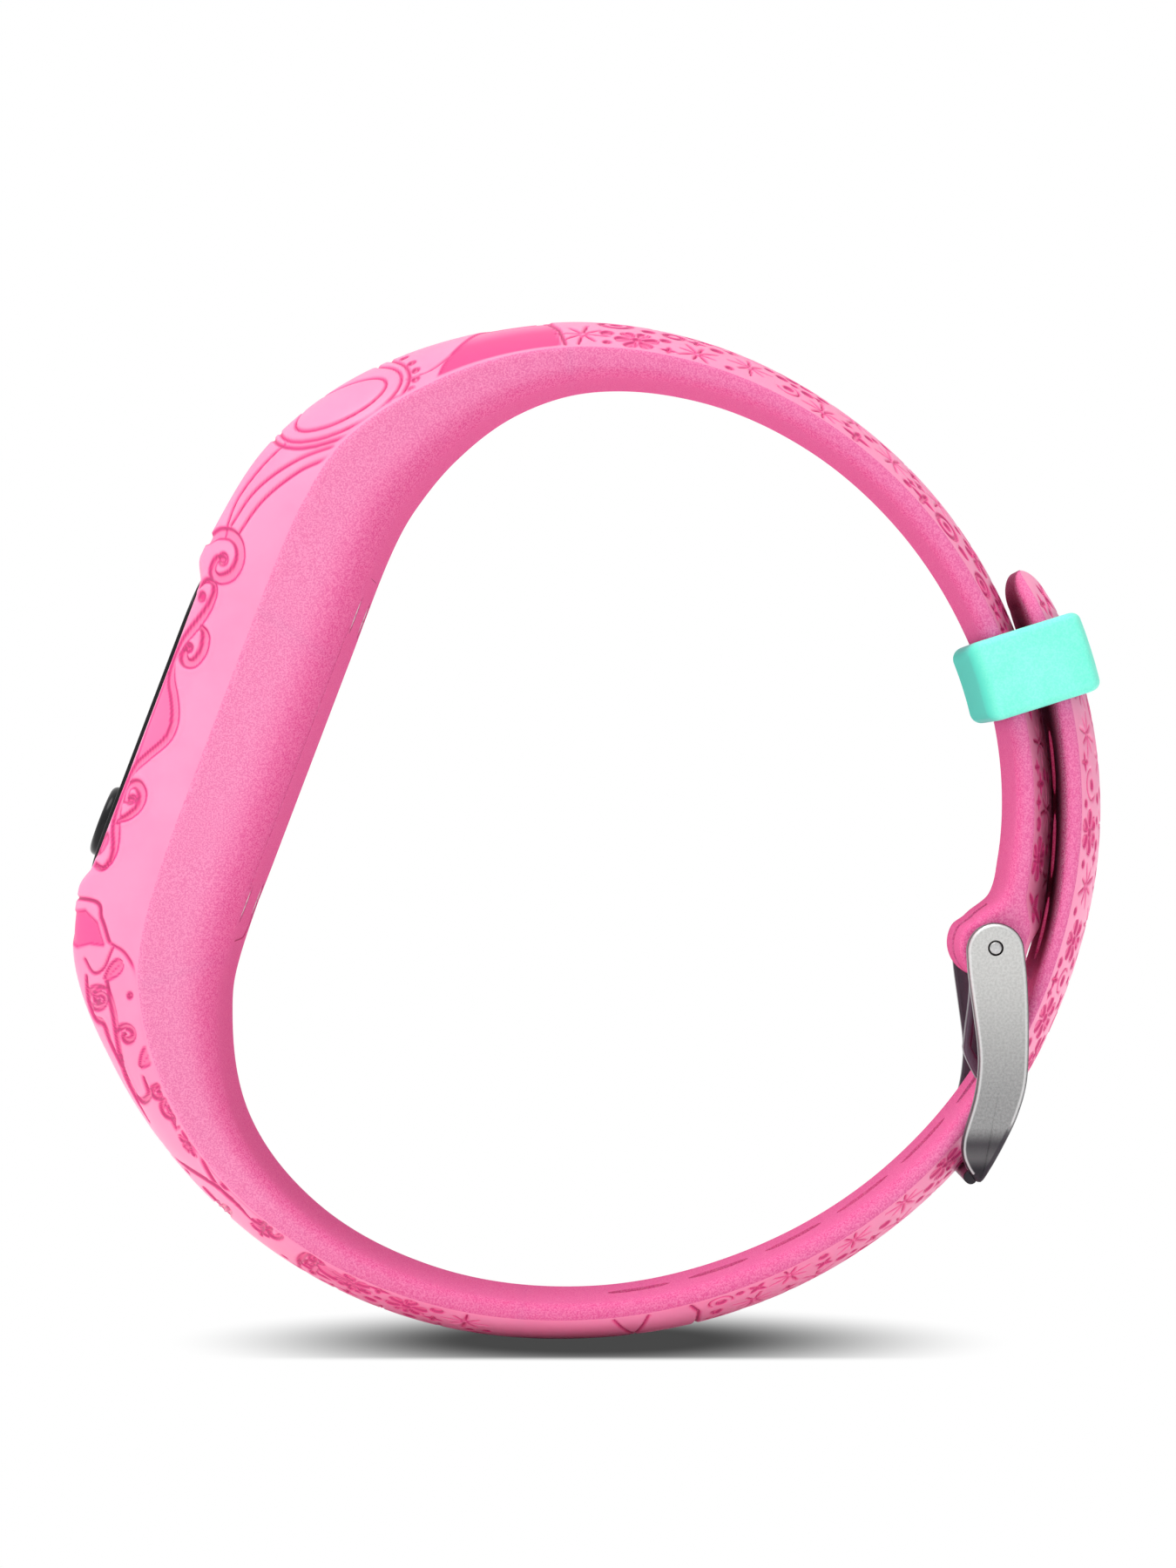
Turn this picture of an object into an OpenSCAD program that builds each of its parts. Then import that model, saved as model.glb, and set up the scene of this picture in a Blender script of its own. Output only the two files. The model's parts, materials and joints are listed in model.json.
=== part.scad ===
// Fitness tracker wristband, closed on its buckle.
// The wrist runs along Y through the origin. X is towards the buckle, Z is up.
// Angles run from +X towards +Z, and "radial" is measured from the origin.

/* [Band] */
// Half of the strap's width
strap_half = 7.5; // [6.5:0.1:8]
// Half of the band's width at the tracker
pod_half = 10.8; // [10.8:0.1:12]
// Radius of the rounding on the band's inner edges
edge_fillet = 0.7; // [0.4:0.1:0.9]
// Distance between neighbouring adjustment holes
hole_pitch = 5; // [4.6:0.1:6]
// Width of an adjustment hole
hole_w = 2.4; // [2.2:0.1:3]
// Length of an adjustment hole along the strap
hole_l = 3.7; // [3.5:0.1:4]

/* [Tracker] */
// Direction in which the display faces
face_angle = 159.2; // [150:0.1:170]
// Distance of the tracker's back from the origin
back_h = 16.9; // [16.8:0.1:17.2]
// Distance of the lens's outer face from the origin
lens_h = 26.1; // [25.9:0.1:26.3]
// Length of the tracker's case along the band
case_l = 22.4; // [22:0.1:23]
// Width of the tracker's case
case_w = 18.8; // [18.4:0.1:19]
// Diameter of the coin cell
cell_d = 16; // [15:0.1:16]
// Height of the coin cell
cell_h = 3.2; // [2:0.1:3.2]

/* [Button] */
// Length of the button along the band
button_l = 4.2; // [3.5:0.1:4.4]
// Width of the button
button_w = 8.4; // [6:0.1:9]
// Height of the button above the lens
button_rise = 0.65; // [0.5:0.05:0.8]

/* [Buckle] */
// Thickness of the buckle's legs
leg_t = 1.2; // [0.8:0.1:1.4]
// Radius of the spring bar's tube
tube_r = 0.9; // [0.8:0.05:1]
// Radius of the spring bar's tips
tip_r = 0.38; // [0.3:0.02:0.4]
// Running clearance around the tips
tip_gap = 0.07; // [0.03:0.01:0.1]

/* [Keeper] */
// Length of the keeper along the straps
keeper_l = 4.7; // [4:0.1:6]
// Thickness of the keeper's walls
keeper_wall = 1; // [0.8:0.1:1.2]

/* [Hidden] */
$fn = 48;
e = 0.01;

// Stations along the band, from the spring bar over the top to the strap's tip:
// angle, radius of the inner face, of the crease, and of the outer face, and half width.
STATIONS = [
    [-15, 22.4, 25.2, 26.2, strap_half], [-12, 23.1, 25.3, 26.4, strap_half],
    [-9, 24.1, 25.4, 26.6, strap_half], [-4, 24.4, 25.5, 26.6, strap_half],
    [5, 24.7, 25.7, 26.8, strap_half], [20, 25.1, 26.1, 27.3, strap_half],
    [30, 25.3, 26.4, 27.6, strap_half], [45, 25.7, 26.8, 28.1, strap_half],
    [60, 26.1, 27.2, 28.6, strap_half], [75, 26.3, 27.6, 29.2, strap_half],
    [90, 26.0, 27.8, 29.6, strap_half + 0.3], [100, 25.0, 27.6, 29.6, strap_half + 0.9],
    [110, 23.3, 27.1, 29.55, strap_half + 1.8], [120, 21.4, 26.4, 29.4, strap_half + 2.7],
    [130, 19.9, 25.4, 28.85, pod_half - 0.1], [140, 19, 24.6, 27.75, pod_half],
    [150, 18.6, 24.3, 26.9, pod_half], [160, 18.6, 24.3, 26.5, pod_half],
    [172, 18.8, 24.5, 27.15, pod_half], [184, 19.8, 25.2, 29.05, pod_half],
    [194, 21.0, 26.4, 30.45, pod_half - 0.2], [206, 23.6, 27.8, 30.55, strap_half + 2.4],
    [220, 26.3, 28.8, 30.6, strap_half + 1.0], [234, 27.4, 28.9, 30.5, strap_half + 0.3],
    [250, 27.5, 28.6, 30.15, strap_half], [270, 27.1, 28.0, 29.5, strap_half],
    [290, 26.7, 27.6, 29.2, strap_half], [312, 26.7, 27.6, 29.1, strap_half],
    [330, 26.9, 27.7, 29.2, strap_half], [345, 27.2, 27.9, 29.4, strap_half],
    [360, 27.3, 28.3, 29.8, strap_half], [375, 27.7, 28.7, 30.1, strap_half],
    [384, 28.0, 29.0, 30.2, strap_half - 0.4], [388.5, 28.3, 29.1, 30.1, strap_half - 1.6],
    [391, 28.8, 29.2, 29.8, strap_half - 3.5]
];
sweep_step = 4;
first_angle = STATIONS[0][0];
last_angle = STATIONS[len(STATIONS) - 1][0];
inner_flat = 16.9;
crease_flat = 22;
inner_blend = 0.7;
crease_blend = 1.6;
crown_power = 1.8;
crown_run = [6.7, 0.8];

// The tracker's pocket and window in the band
pod_shift = 2;
window_shift = 1.25;
window_l = 18.1;
window_w = 14.3;
window_corner = 3;
case_corner = 4.5;
rim_h = lens_h - 0.2;
shoulder_h = 23.6;
fit_gap = 0.1;
wall = 1;
cavity_l = case_l - 2 * wall;
cavity_w = case_w - 2 * wall;
cavity_corner = case_corner - wall;
front_t = 0.6;
neck_l = window_l - 1.1;
neck_w = window_w - 1.5;
neck_corner = window_corner - 0.6;

// Heights of the tracker's layers, measured as back_h is
cover_t = 1.1;
seam_h = back_h + cover_t;
cell_base = seam_h + 0.3;
board_h = 22.1;
board_t = 0.6;
board_top = board_h + board_t;
panel_h = 24.0;
neck_top = 25.0;
lens_base = 25.2;
button_x = -7.4;
panel_x = [-4.5, 6.5];
panel_half = 5.8;
ribbon_t = 0.12;
screw_x = 8.9;
screw_y = 6.9;
screw_r = 0.58;
boss_r = 1.25;

// The spring bar, and the buckle that turns on it
pivot = [23.35, 0, -6.65];
eyelet_r = 2;
leg_inner = strap_half + 0.3;
leg_outer = leg_inner + leg_t;
crossbar = [22.12, 0, -19.61];
crossbar_tilt = 41.5;
tongue_half = 0.9;
hole_angle = 327.5;
hole_radius = 28;
holes_to_tip = 4;
holes_to_pod = 5;

// The keeper slides on a circle about this centre
keeper_centre = [0.95, 0, 1.7];
keeper_angle = 17.5;
keeper_inner = 22.45;
keeper_outer = 29.7;
keeper_sag = 0.65;
keeper_half = strap_half + 0.2 + keeper_wall;

// ---- Curves of the band ----
function slope(k, c) =
    let (a = STATIONS[max(k - 1, 0)], b = STATIONS[min(k + 1, len(STATIONS) - 1)])
    (b[c] - a[c]) / (b[0] - a[0]);
function station_before(angle) =
    max([for (k = [0 : len(STATIONS) - 2]) if (STATIONS[k][0] <= angle) k]);
function hermite(a, b, slope_a, slope_b, w, u) =
    (2 * u ^ 3 - 3 * u ^ 2 + 1) * a + (u ^ 3 - 2 * u ^ 2 + u) * w * slope_a
    + (3 * u ^ 2 - 2 * u ^ 3) * b + (u ^ 3 - u ^ 2) * w * slope_b;
function curve(angle, c) =
    let (k = station_before(angle), a = STATIONS[k], b = STATIONS[k + 1], w = b[0] - a[0])
    hermite(a[c], b[c], slope(k, c), slope(k + 1, c), w, (angle - a[0]) / w);
function soft_min(a, b, k) = let (h = max(k - abs(a - b), 0) / k) min(a, b) - h * h * k / 4;
function flattened(r, flat, angle, blend) =
    abs(angle - face_angle) < 60 ? soft_min(r, flat / cos(angle - face_angle), blend) : r;
function inner_r(angle) = flattened(curve(angle, 1), inner_flat, angle, inner_blend);
function crease_r(angle) = flattened(curve(angle, 2), crease_flat, angle, crease_blend);

// Half of the band's section at an angle, as [across, radial] from inner to outer middle
function half_section(angle) =
    let (
        inner = inner_r(angle),
        crease = crease_r(angle),
        rise = curve(angle, 3) - crease,
        half = curve(angle, 4),
        run = min(crown_run[0] - crown_run[1] * rise, half - 0.3),
        fillet = min(edge_fillet + 0.25 * max(crease - inner - 1, 0), crease - inner - 0.1)
    )
    concat(
        [[0, inner]],
        [for (a = [0 : 30 : 90]) [half - fillet * (1 - sin(a)), inner + fillet * (1 - cos(a))]],
        [for (v = [0, 0.15, 0.35, 0.6, 1])
            [half - run * v, crease + rise * (1 - (1 - v) ^ crown_power)]],
        [[0, crease + rise + 0.02]]
    );
function ring(angle) =
    let (half = half_section(angle), n = len(half))
    [for (p = concat(half, [for (i = [n - 2 : -1 : 1]) [-half[i][0], half[i][1]]]))
        [p[1] * cos(angle), p[0], p[1] * sin(angle)]];

module band_sweep() {
    angles = concat([for (a = [first_angle : sweep_step : last_angle - 4]) a],
        [last_angle - 3, last_angle - 1.5, last_angle]);
    rings = [for (a = angles) ring(a)];
    n = len(rings[0]);
    m = len(rings);
    polyhedron(
        points = [for (r = rings) each r],
        faces = concat(
            [for (j = [0 : m - 2], i = [0 : n - 1])
                each [[j * n + i, j * n + (i + 1) % n, (j + 1) * n + i],
                    [j * n + (i + 1) % n, (j + 1) * n + (i + 1) % n, (j + 1) * n + i]]],
            [[for (i = [n - 1 : -1 : 0]) i]],
            [[for (i = [0 : n - 1]) (m - 1) * n + i]]
        )
    );
}

// ---- Shared placements and shapes ----
module at_angle(angle) {
    rotate([0, 90 - angle, 0]) children();
}

// Z along the display's outward normal, X towards the top of the band
module at_pod() {
    at_angle(face_angle) translate([-pod_shift, 0, 0]) children();
}

// Turns a drawing in X and Y into one in X and Z, extruded evenly about Y = 0
module across(width) {
    rotate([90, 0, 0]) linear_extrude(width, center = true) children();
}

module rounded(l, w, r) {
    square([l, w - 2 * r], center = true);
    square([l - 2 * r, w], center = true);
    for (x = [-1, 1], y = [-1, 1])
        translate([x * (l / 2 - r), y * (w / 2 - r)]) circle(r);
}

module slab(l, w, r, low, high) {
    translate([0, 0, low]) linear_extrude(high - low) rounded(l, w, r);
}

// A slab whose outline is drawn outwards by grow, or inwards when it is negative
module grown_slab(l, w, r, grow, low, high) {
    slab(l + 2 * grow, w + 2 * grow, r + grow, low, high);
}

module pill(l, w, low, high) {
    translate([0, 0, low]) linear_extrude(high - low) {
        square([l, w - l], center = true);
        for (y = [-1, 1])
            translate([0, y * (w - l) / 2]) circle(l / 2);
    }
}

module block(x, y, z) {
    translate([x[0], y[0], z[0]]) cube([x[1] - x[0], y[1] - y[0], z[1] - z[0]]);
}

module at_screws() {
    for (x = [-1, 1], y = [-1, 1])
        translate([x * screw_x, y * screw_y, 0]) children();
}

module at_window() {
    translate([-window_shift, 0, 0]) children();
}

module at_button() {
    translate([button_x, 0, 0]) children();
}

module display_opening() {
    block([panel_x[0] - fit_gap, panel_x[1] + fit_gap],
        [-panel_half - fit_gap, panel_half + fit_gap], [23, lens_base + 0.4]);
}

module button_opening(gap) {
    at_button() pill(button_l + 2 * gap, button_w + 2 * gap, 24, lens_h + 1);
}

// The cavity's outline with its screw bosses cut away, all drawn inwards by inset
module seal_outline(inset) {
    difference() {
        rounded(cavity_l - 2 * inset, cavity_w - 2 * inset, cavity_corner - inset);
        at_screws() circle(boss_r + fit_gap + inset);
    }
}

// ---- The band ----
module adjustment_hole() {
    translate([0, 0, hole_radius - 4]) linear_extrude(8) {
        square([hole_l - hole_w, hole_w], center = true);
        for (x = [-1, 1])
            translate([x * (hole_l - hole_w) / 2, 0]) circle(hole_w / 2);
    }
}

module silicone_band() {
    hole_step = hole_pitch / hole_radius * 180 / PI;
    recess_half = window_l / 2 + fit_gap;
    color("hotpink") difference() {
        union() {
            band_sweep();
            translate(pivot) across(2 * strap_half) circle(eyelet_r);
        }
        at_pod() {
            grown_slab(case_l, case_w, case_corner, fit_gap, 8, shoulder_h + 0.05);
            at_window() {
                grown_slab(window_l, window_w, window_corner, fit_gap, 20, 34);
                block([-recess_half, recess_half], [-14, 14], [rim_h, 34]);
            }
        }
        translate(pivot) across(2 * strap_half + 2) circle(tube_r);
        translate(pivot) across(2 * tongue_half + 0.5) {
            circle(eyelet_r + 0.4);
            translate([-3, -5]) square([6, 5]);
        }
        for (k = [-holes_to_pod : holes_to_tip])
            at_angle(hole_angle + k * hole_step) adjustment_hole();
    }
}

// ---- The tracker's case ----
module front_case() {
    color("dimgray") at_pod() difference() {
        union() {
            slab(case_l, case_w, case_corner, seam_h, shoulder_h);
            at_window() slab(window_l, window_w, window_corner, shoulder_h - e, neck_top);
        }
        difference() {
            slab(cavity_l, cavity_w, cavity_corner, seam_h - e, board_top + fit_gap);
            at_screws() translate([0, 0, seam_h]) cylinder(h = 6, r = boss_r);
        }
        at_window() slab(neck_l, neck_w, neck_corner, board_top, neck_top - front_t);
        display_opening();
        button_opening(fit_gap);
        at_screws() translate([0, 0, seam_h - e]) cylinder(h = 3.4, r = screw_r + 0.02);
    }
}

module display_lens() {
    color("black") at_pod() difference() {
        at_window() slab(window_l, window_w, window_corner, lens_base, lens_h);
        button_opening(fit_gap);
    }
}

module lens_adhesive() {
    color("gainsboro") at_pod() difference() {
        at_window() grown_slab(window_l, window_w, window_corner, -0.2, neck_top, lens_base);
        display_opening();
        button_opening(0.25);
    }
}

module display_panel() {
    color("darkseagreen") at_pod()
        block(panel_x, [-panel_half, panel_half], [panel_h, neck_top - fit_gap]);
}

// From under the display, down its end, to the board
module display_flex() {
    bend_x = panel_x[0] - 0.3;
    color("darkorange") at_pod() across(6) polygon([
        [-3, panel_h], [-3, panel_h - ribbon_t], [bend_x + ribbon_t, panel_h - ribbon_t],
        [bend_x + ribbon_t, board_top + ribbon_t], [-3.9, board_top + ribbon_t], [-3.9, board_top],
        [bend_x, board_top], [bend_x, panel_h]
    ]);
}

module display_holder() {
    bar = 0.5;
    ends = [-3.6, 6.4];
    half = 5.6;
    color("whitesmoke") at_pod() difference() {
        block(ends, [-half, half], [board_top, panel_h]);
        block([ends[0] + bar, ends[1] - bar], [bar - half, half - bar], [board_top - e, panel_h + e]);
        block([ends[0] - 0.1, ends[0] + bar + 0.1], [-3.2, 3.2], [panel_h - 0.2, panel_h + e]);
    }
}

// ---- The tracker's electronics ----
module circuit_board() {
    color("darkgreen") at_pod() difference() {
        grown_slab(cavity_l, cavity_w, cavity_corner, -fit_gap, board_h, board_top);
        at_screws() translate([0, 0, board_h - 1]) cylinder(h = 3, r = boss_r + fit_gap);
    }
}

module radio_chip() {
    color("dimgray") at_pod() block([-1.6, 3.4], [-4.6, 0.4], [board_top, board_top + 0.9]);
}

module motion_sensor() {
    color("darkslategray") at_pod() block([-1.2, 0.8], [2.2, 4.2], [board_top, board_top + 0.8]);
}

module clock_crystal() {
    color("silver") at_pod() translate([2.8, 3, 0]) slab(3.2, 1.5, 0.3, board_top, board_top + 0.7);
}

module antenna() {
    color("goldenrod") at_pod() {
        block([4.9, 5.6], [-4.9, 4.9], [board_top, board_top + 0.3]);
        block([3.8, 4.9], [-4.9, -4.4], [board_top, board_top + 0.3]);
    }
}

module dome_switch() {
    color("silver") at_pod() at_button() {
        block([-1.5, 1.5], [-1.5, 1.5], [board_top, board_top + 0.3]);
        translate([0, 0, board_top + 0.3]) cylinder(h = 0.3, r1 = 1.2, r2 = 0.5);
    }
}

module button_cap() {
    flange = 0.45;
    stem_base = board_top + 1;
    color("black") at_pod() at_button() {
        pill(button_l, button_w, neck_top - 0.7, lens_h + button_rise);
        pill(button_l + flange, button_w + flange, neck_top - 1, neck_top - 0.65);
        translate([0, 0, stem_base]) cylinder(h = neck_top - 0.9 - stem_base, r = 0.8);
    }
}

module button_seal() {
    color("slategray") at_pod() at_button() translate([0, 0, neck_top - 1.25]) difference() {
        cylinder(h = 0.25, r = 1.5);
        translate([0, 0, -e]) cylinder(h = 1, r = 0.8);
    }
}

// ---- The tracker's battery and back ----
module battery_tray() {
    color("lightgray") at_pod() difference() {
        grown_slab(cavity_l, cavity_w, cavity_corner, -fit_gap, cell_base, board_h - fit_gap);
        translate([0, 0, cell_base - 1]) cylinder(h = 9, r = cell_d / 2 + fit_gap);
        at_screws() translate([0, 0, cell_base - 1]) cylinder(h = 9, r = boss_r + fit_gap);
        block([cell_d / 2 - 0.6, cell_d / 2 + 1], [-2, 2], [cell_base - 1, board_h]);
    }
}

module coin_cell() {
    r = cell_d / 2;
    color("silver") at_pod() translate([0, 0, cell_base]) rotate_extrude() polygon([
        [0, 0], [r - 0.3, 0], [r, 0.3], [r, cell_h - 0.5], [r - 0.5, cell_h - 0.2],
        [r - 1.2, cell_h - 0.2], [r - 1.3, cell_h], [0, cell_h]
    ]);
}

// From the side of the cell up to the board
module positive_contact() {
    r = cell_d / 2;
    color("gold") at_pod() across(3) polygon([
        [r, cell_base + 0.4], [r + 0.15, cell_base + 0.4], [r + 0.6, cell_base + 1.8],
        [r + 0.6, board_h], [r - 0.9, board_h], [r - 0.9, board_h - ribbon_t],
        [r + 0.45, board_h - ribbon_t], [r + 0.45, cell_base + 1.8]
    ]);
}

// From the top of the cell up to the board
module negative_contact() {
    low = cell_base + cell_h;
    color("gold") at_pod() across(2.4) polygon([
        [-5, board_h], [-5, board_h - ribbon_t], [-2.6, board_h - ribbon_t], [0, low], [0.9, low],
        [0.9, low + ribbon_t], [0.1, low + ribbon_t], [-2.5, board_h]
    ]);
}

module case_seal() {
    color("slategray") at_pod() translate([0, 0, seam_h]) linear_extrude(cell_base - seam_h)
        difference() {
            seal_outline(0);
            seal_outline(0.5);
        }
}

module back_cover() {
    color("palevioletred") at_pod() difference() {
        union() {
            slab(case_l, case_w, case_corner, back_h, seam_h);
            translate([0, 0, seam_h - e]) linear_extrude(cell_base - seam_h + e) seal_outline(0.6);
        }
        at_screws() translate([0, 0, back_h - e]) {
            cylinder(h = 0.6, r = 1.15);
            cylinder(h = 3, r = screw_r + 0.12);
        }
        translate([0, 0, cell_base - 0.2]) cylinder(h = 1, r = cell_d / 2 - 2);
    }
}

module cover_screws() {
    slot_w = 0.2;
    slot_l = 1.4;
    color("silver") at_pod() at_screws() difference() {
        translate([0, 0, back_h + 0.05]) {
            cylinder(h = 0.5, r = 1.05);
            cylinder(h = 3.6, r = screw_r);
        }
        block([-slot_l / 2, slot_l / 2], [-slot_w / 2, slot_w / 2], [back_h, back_h + 0.3]);
        block([-slot_w / 2, slot_w / 2], [-slot_l / 2, slot_l / 2], [back_h, back_h + 0.3]);
    }
}

// ---- The keeper ----
// From low to outer, rounded at the corners and domed on its outer side
module keeper_section(low, outer, width, corner) {
    dome_r = keeper_half ^ 2 / (2 * keeper_sag);
    intersection() {
        translate([(low + outer) / 2, 0]) rounded(outer - low, width, corner);
        translate([outer - dome_r, 0]) circle(dome_r, $fn = 240);
    }
}

module keeper_loop() {
    turn = 20;
    color("aquamarine") translate(keeper_centre) rotate([0, -keeper_angle, 0]) intersection() {
        rotate([90, 0, 0]) rotate([0, 0, -turn / 2]) rotate_extrude(angle = turn, $fn = 96)
            difference() {
                keeper_section(keeper_inner, keeper_outer, 2 * keeper_half, 1.2);
                keeper_section(keeper_inner + 0.9, keeper_outer - 0.65,
                    2 * (keeper_half - keeper_wall), 0.5);
            }
        block([20, 31], [-10, 10], [-keeper_l / 2, keeper_l / 2]);
    }
}

// ---- The buckle ----
module leg_outline() {
    polygon([
        [21.7, -6.8], [21.8, -8.2], [22.1, -10.4], [22.35, -12.4], [22.35, -13.8], [22.1, -15.4],
        [21.5, -17.4], [21.4, -18.2], [21.5, -18.8], [21.9, -19.6], [22.5, -20.1], [23.2, -19.1],
        [23.9, -17.8], [24.6, -16.3], [25.1, -14.6], [25.25, -12.8], [25.25, -10.4], [25.15, -8.2],
        [25, -6.8]
    ]);
    translate([23.35, -6.85]) circle(1.65);
}

module at_crossbar() {
    translate(crossbar) rotate([0, crossbar_tilt, 0]) children();
}

module buckle_frame() {
    color("silver") difference() {
        union() {
            for (side = [-1, 1])
                translate([0, side * (leg_inner + leg_outer) / 2, 0]) across(leg_t) leg_outline();
            at_crossbar() across(2 * leg_inner + 1) rounded(0.8, 1.3, 0.35);
        }
        translate(pivot) across(2 * leg_outer + 1) circle(tip_r + tip_gap);
        at_crossbar() block([0.12, 2.35], [-tongue_half - 0.2, tongue_half + 0.2], [-2, 2]);
    }
}

module buckle_tongue() {
    color("silver") difference() {
        union() {
            translate(pivot) across(2 * tongue_half) circle(tube_r + 0.6);
            across(2 * tongue_half) polygon([
                [22.3, -7.4], [22.15, -9.5], [21.75, -12], [21.8, -13.2], [23.5, -16],
                [23.75, -17.2], [23.45, -18.4], [22.32, -19.8], [22.8, -20.3], [24.05, -18.75],
                [24.5, -17.2], [24.3, -15.6], [22.5, -12.9], [22.35, -12.2], [22.9, -9.5],
                [23.5, -7.9]
            ]);
        }
        translate(pivot) across(4) circle(tube_r + 0.05);
    }
}

// ---- The spring bar ----
module spring_bar_tube() {
    color("gray") translate(pivot) difference() {
        across(2 * strap_half - 0.2) circle(tube_r);
        across(2 * strap_half) circle(tube_r - 0.25);
    }
}

module spring_bar_coil() {
    turns = 7;
    pitch = 0.9;
    color("lightgray") translate(pivot) for (k = [0 : turns - 1])
        translate([0, (k - (turns - 1) / 2) * pitch, 0]) rotate([90, 0, 0])
            rotate_extrude() translate([0.42, 0]) circle(0.14);
}

module spring_bar_tip() {
    rotate([90, 0, 0]) {
        translate([0, 0, leg_inner - 0.3]) cylinder(h = leg_t + 0.3, r = tip_r);
        translate([0, 0, leg_inner - 3.1]) cylinder(h = 2.85, r = tube_r - 0.3);
    }
}

module spring_bar_tip_near() {
    color("gainsboro") translate(pivot) spring_bar_tip();
}

module spring_bar_tip_far() {
    color("gainsboro") translate(pivot) mirror([0, 1, 0]) spring_bar_tip();
}

silicone_band();
front_case();
display_lens();
lens_adhesive();
display_panel();
display_flex();
display_holder();
circuit_board();
radio_chip();
motion_sensor();
clock_crystal();
antenna();
dome_switch();
button_cap();
button_seal();
battery_tray();
coin_cell();
positive_contact();
negative_contact();
case_seal();
back_cover();
cover_screws();
keeper_loop();
buckle_frame();
buckle_tongue();
spring_bar_tube();
spring_bar_coil();
spring_bar_tip_near();
spring_bar_tip_far();
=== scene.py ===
"""Fitness tracker wristband, closed on its buckle. Shapes are drawn in millimetres, in the CAD's frame."""
import json
import math
import random

import bmesh
import bpy
import numpy as np
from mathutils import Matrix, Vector


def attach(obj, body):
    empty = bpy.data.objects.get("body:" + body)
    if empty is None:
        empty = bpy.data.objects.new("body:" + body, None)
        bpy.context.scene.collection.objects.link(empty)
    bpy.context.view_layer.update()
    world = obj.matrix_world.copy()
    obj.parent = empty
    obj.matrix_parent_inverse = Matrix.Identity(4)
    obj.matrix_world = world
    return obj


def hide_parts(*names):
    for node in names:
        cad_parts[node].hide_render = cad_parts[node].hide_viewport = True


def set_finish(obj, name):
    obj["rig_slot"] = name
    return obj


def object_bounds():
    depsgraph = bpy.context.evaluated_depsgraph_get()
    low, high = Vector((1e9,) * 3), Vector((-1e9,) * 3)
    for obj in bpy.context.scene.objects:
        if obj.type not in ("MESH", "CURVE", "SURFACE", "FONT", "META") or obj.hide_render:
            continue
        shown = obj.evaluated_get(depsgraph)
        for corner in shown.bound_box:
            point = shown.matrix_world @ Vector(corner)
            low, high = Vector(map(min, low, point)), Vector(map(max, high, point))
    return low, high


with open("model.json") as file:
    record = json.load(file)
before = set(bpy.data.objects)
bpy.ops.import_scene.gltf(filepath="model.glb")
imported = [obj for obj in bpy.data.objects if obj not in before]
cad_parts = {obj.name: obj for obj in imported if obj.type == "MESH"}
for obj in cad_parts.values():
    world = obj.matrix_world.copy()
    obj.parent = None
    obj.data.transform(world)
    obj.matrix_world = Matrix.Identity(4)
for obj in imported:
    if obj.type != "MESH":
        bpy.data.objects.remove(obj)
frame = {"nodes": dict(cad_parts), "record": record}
cad_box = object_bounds()
MM = 0.001

# ---- camera, first
scene = bpy.context.scene
scene.view_settings.view_transform = "Standard"
scene.view_settings.look = "None"
camera = bpy.data.objects.new("camera", bpy.data.cameras.new("camera"))
scene.collection.objects.link(camera)
camera.location = (0, -0.418, 0.00275)
camera.rotation_euler = (math.pi / 2, 0, 0)
camera.data.sensor_width, camera.data.lens = 36, 164
camera.data.clip_start, camera.data.clip_end = 0.01, 20
scene.camera = camera
EYE_BACK, EYE_LEVEL = -camera.location.y / MM, camera.location.z / MM


# ---- mesh helpers
def add_piece(name, points_mm, faces, body, node, slot):
    """A piece from points in mm and faces, riding on a body and standing for a CAD node."""
    mesh = bpy.data.meshes.new(name)
    mesh.from_pydata((np.asarray(points_mm, float) * MM).tolist(), [], [list(map(int, f)) for f in faces])
    mesh.validate()
    mesh.update()
    mesh.shade_smooth()
    piece = bpy.data.objects.new(name, mesh)
    scene.collection.objects.link(piece)
    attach(piece, body)
    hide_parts(node)
    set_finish(piece, slot)
    outward(piece)
    return piece


def ring_faces(rings, count):
    """Quads between successive rings of `count` points each, and the two end caps."""
    j, i = np.meshgrid(np.arange(rings - 1), np.arange(count), indexing="ij")
    k = (i + 1) % count
    quads = np.stack([j * count + i, j * count + k, (j + 1) * count + k, (j + 1) * count + i], -1)
    last = (rings - 1) * count
    return quads.reshape(-1, 4).tolist() + [list(range(count))[::-1], list(range(last, last + count))]


def outward(piece):
    """Turns every face outwards."""
    bm = bmesh.new()
    bm.from_mesh(piece.data)
    bmesh.ops.recalc_face_normals(bm, faces=bm.faces)
    bm.to_mesh(piece.data)
    bm.free()


def cut(piece, points_mm, faces, operation="DIFFERENCE", solver="MANIFOLD"):
    """Cuts a closed shape out of a piece, or joins it to the piece."""
    mesh = bpy.data.meshes.new("tool")
    mesh.from_pydata((np.asarray(points_mm, float) * MM).tolist(), [], faces)
    tool = bpy.data.objects.new("tool", mesh)
    scene.collection.objects.link(tool)
    outward(tool)
    modifier = piece.modifiers.new("cut", "BOOLEAN")
    modifier.operation = operation
    modifier.object = tool
    modifier.solver = solver
    bpy.context.view_layer.update()
    made = bpy.data.meshes.new_from_object(piece.evaluated_get(bpy.context.evaluated_depsgraph_get()))
    piece.modifiers.remove(modifier)
    old, piece.data = piece.data, made
    made.name = old.name
    bpy.data.meshes.remove(old)
    bpy.data.objects.remove(tool)
    bpy.data.meshes.remove(mesh)


def sharpen(piece, degrees=40):
    piece.data.set_sharp_from_angle(angle=math.radians(degrees))


def prism(outline, low, high, place):
    """A closed prism over a 2-D outline, placed by a function of (x, y, z)."""
    n = len(outline)
    points = [place(x, y, z) for z in (low, high) for x, y in outline]
    faces = [[i, (i + 1) % n, n + (i + 1) % n, n + i] for i in range(n)]
    return points, faces + [list(range(n))[::-1], list(range(n, 2 * n))]


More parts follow.
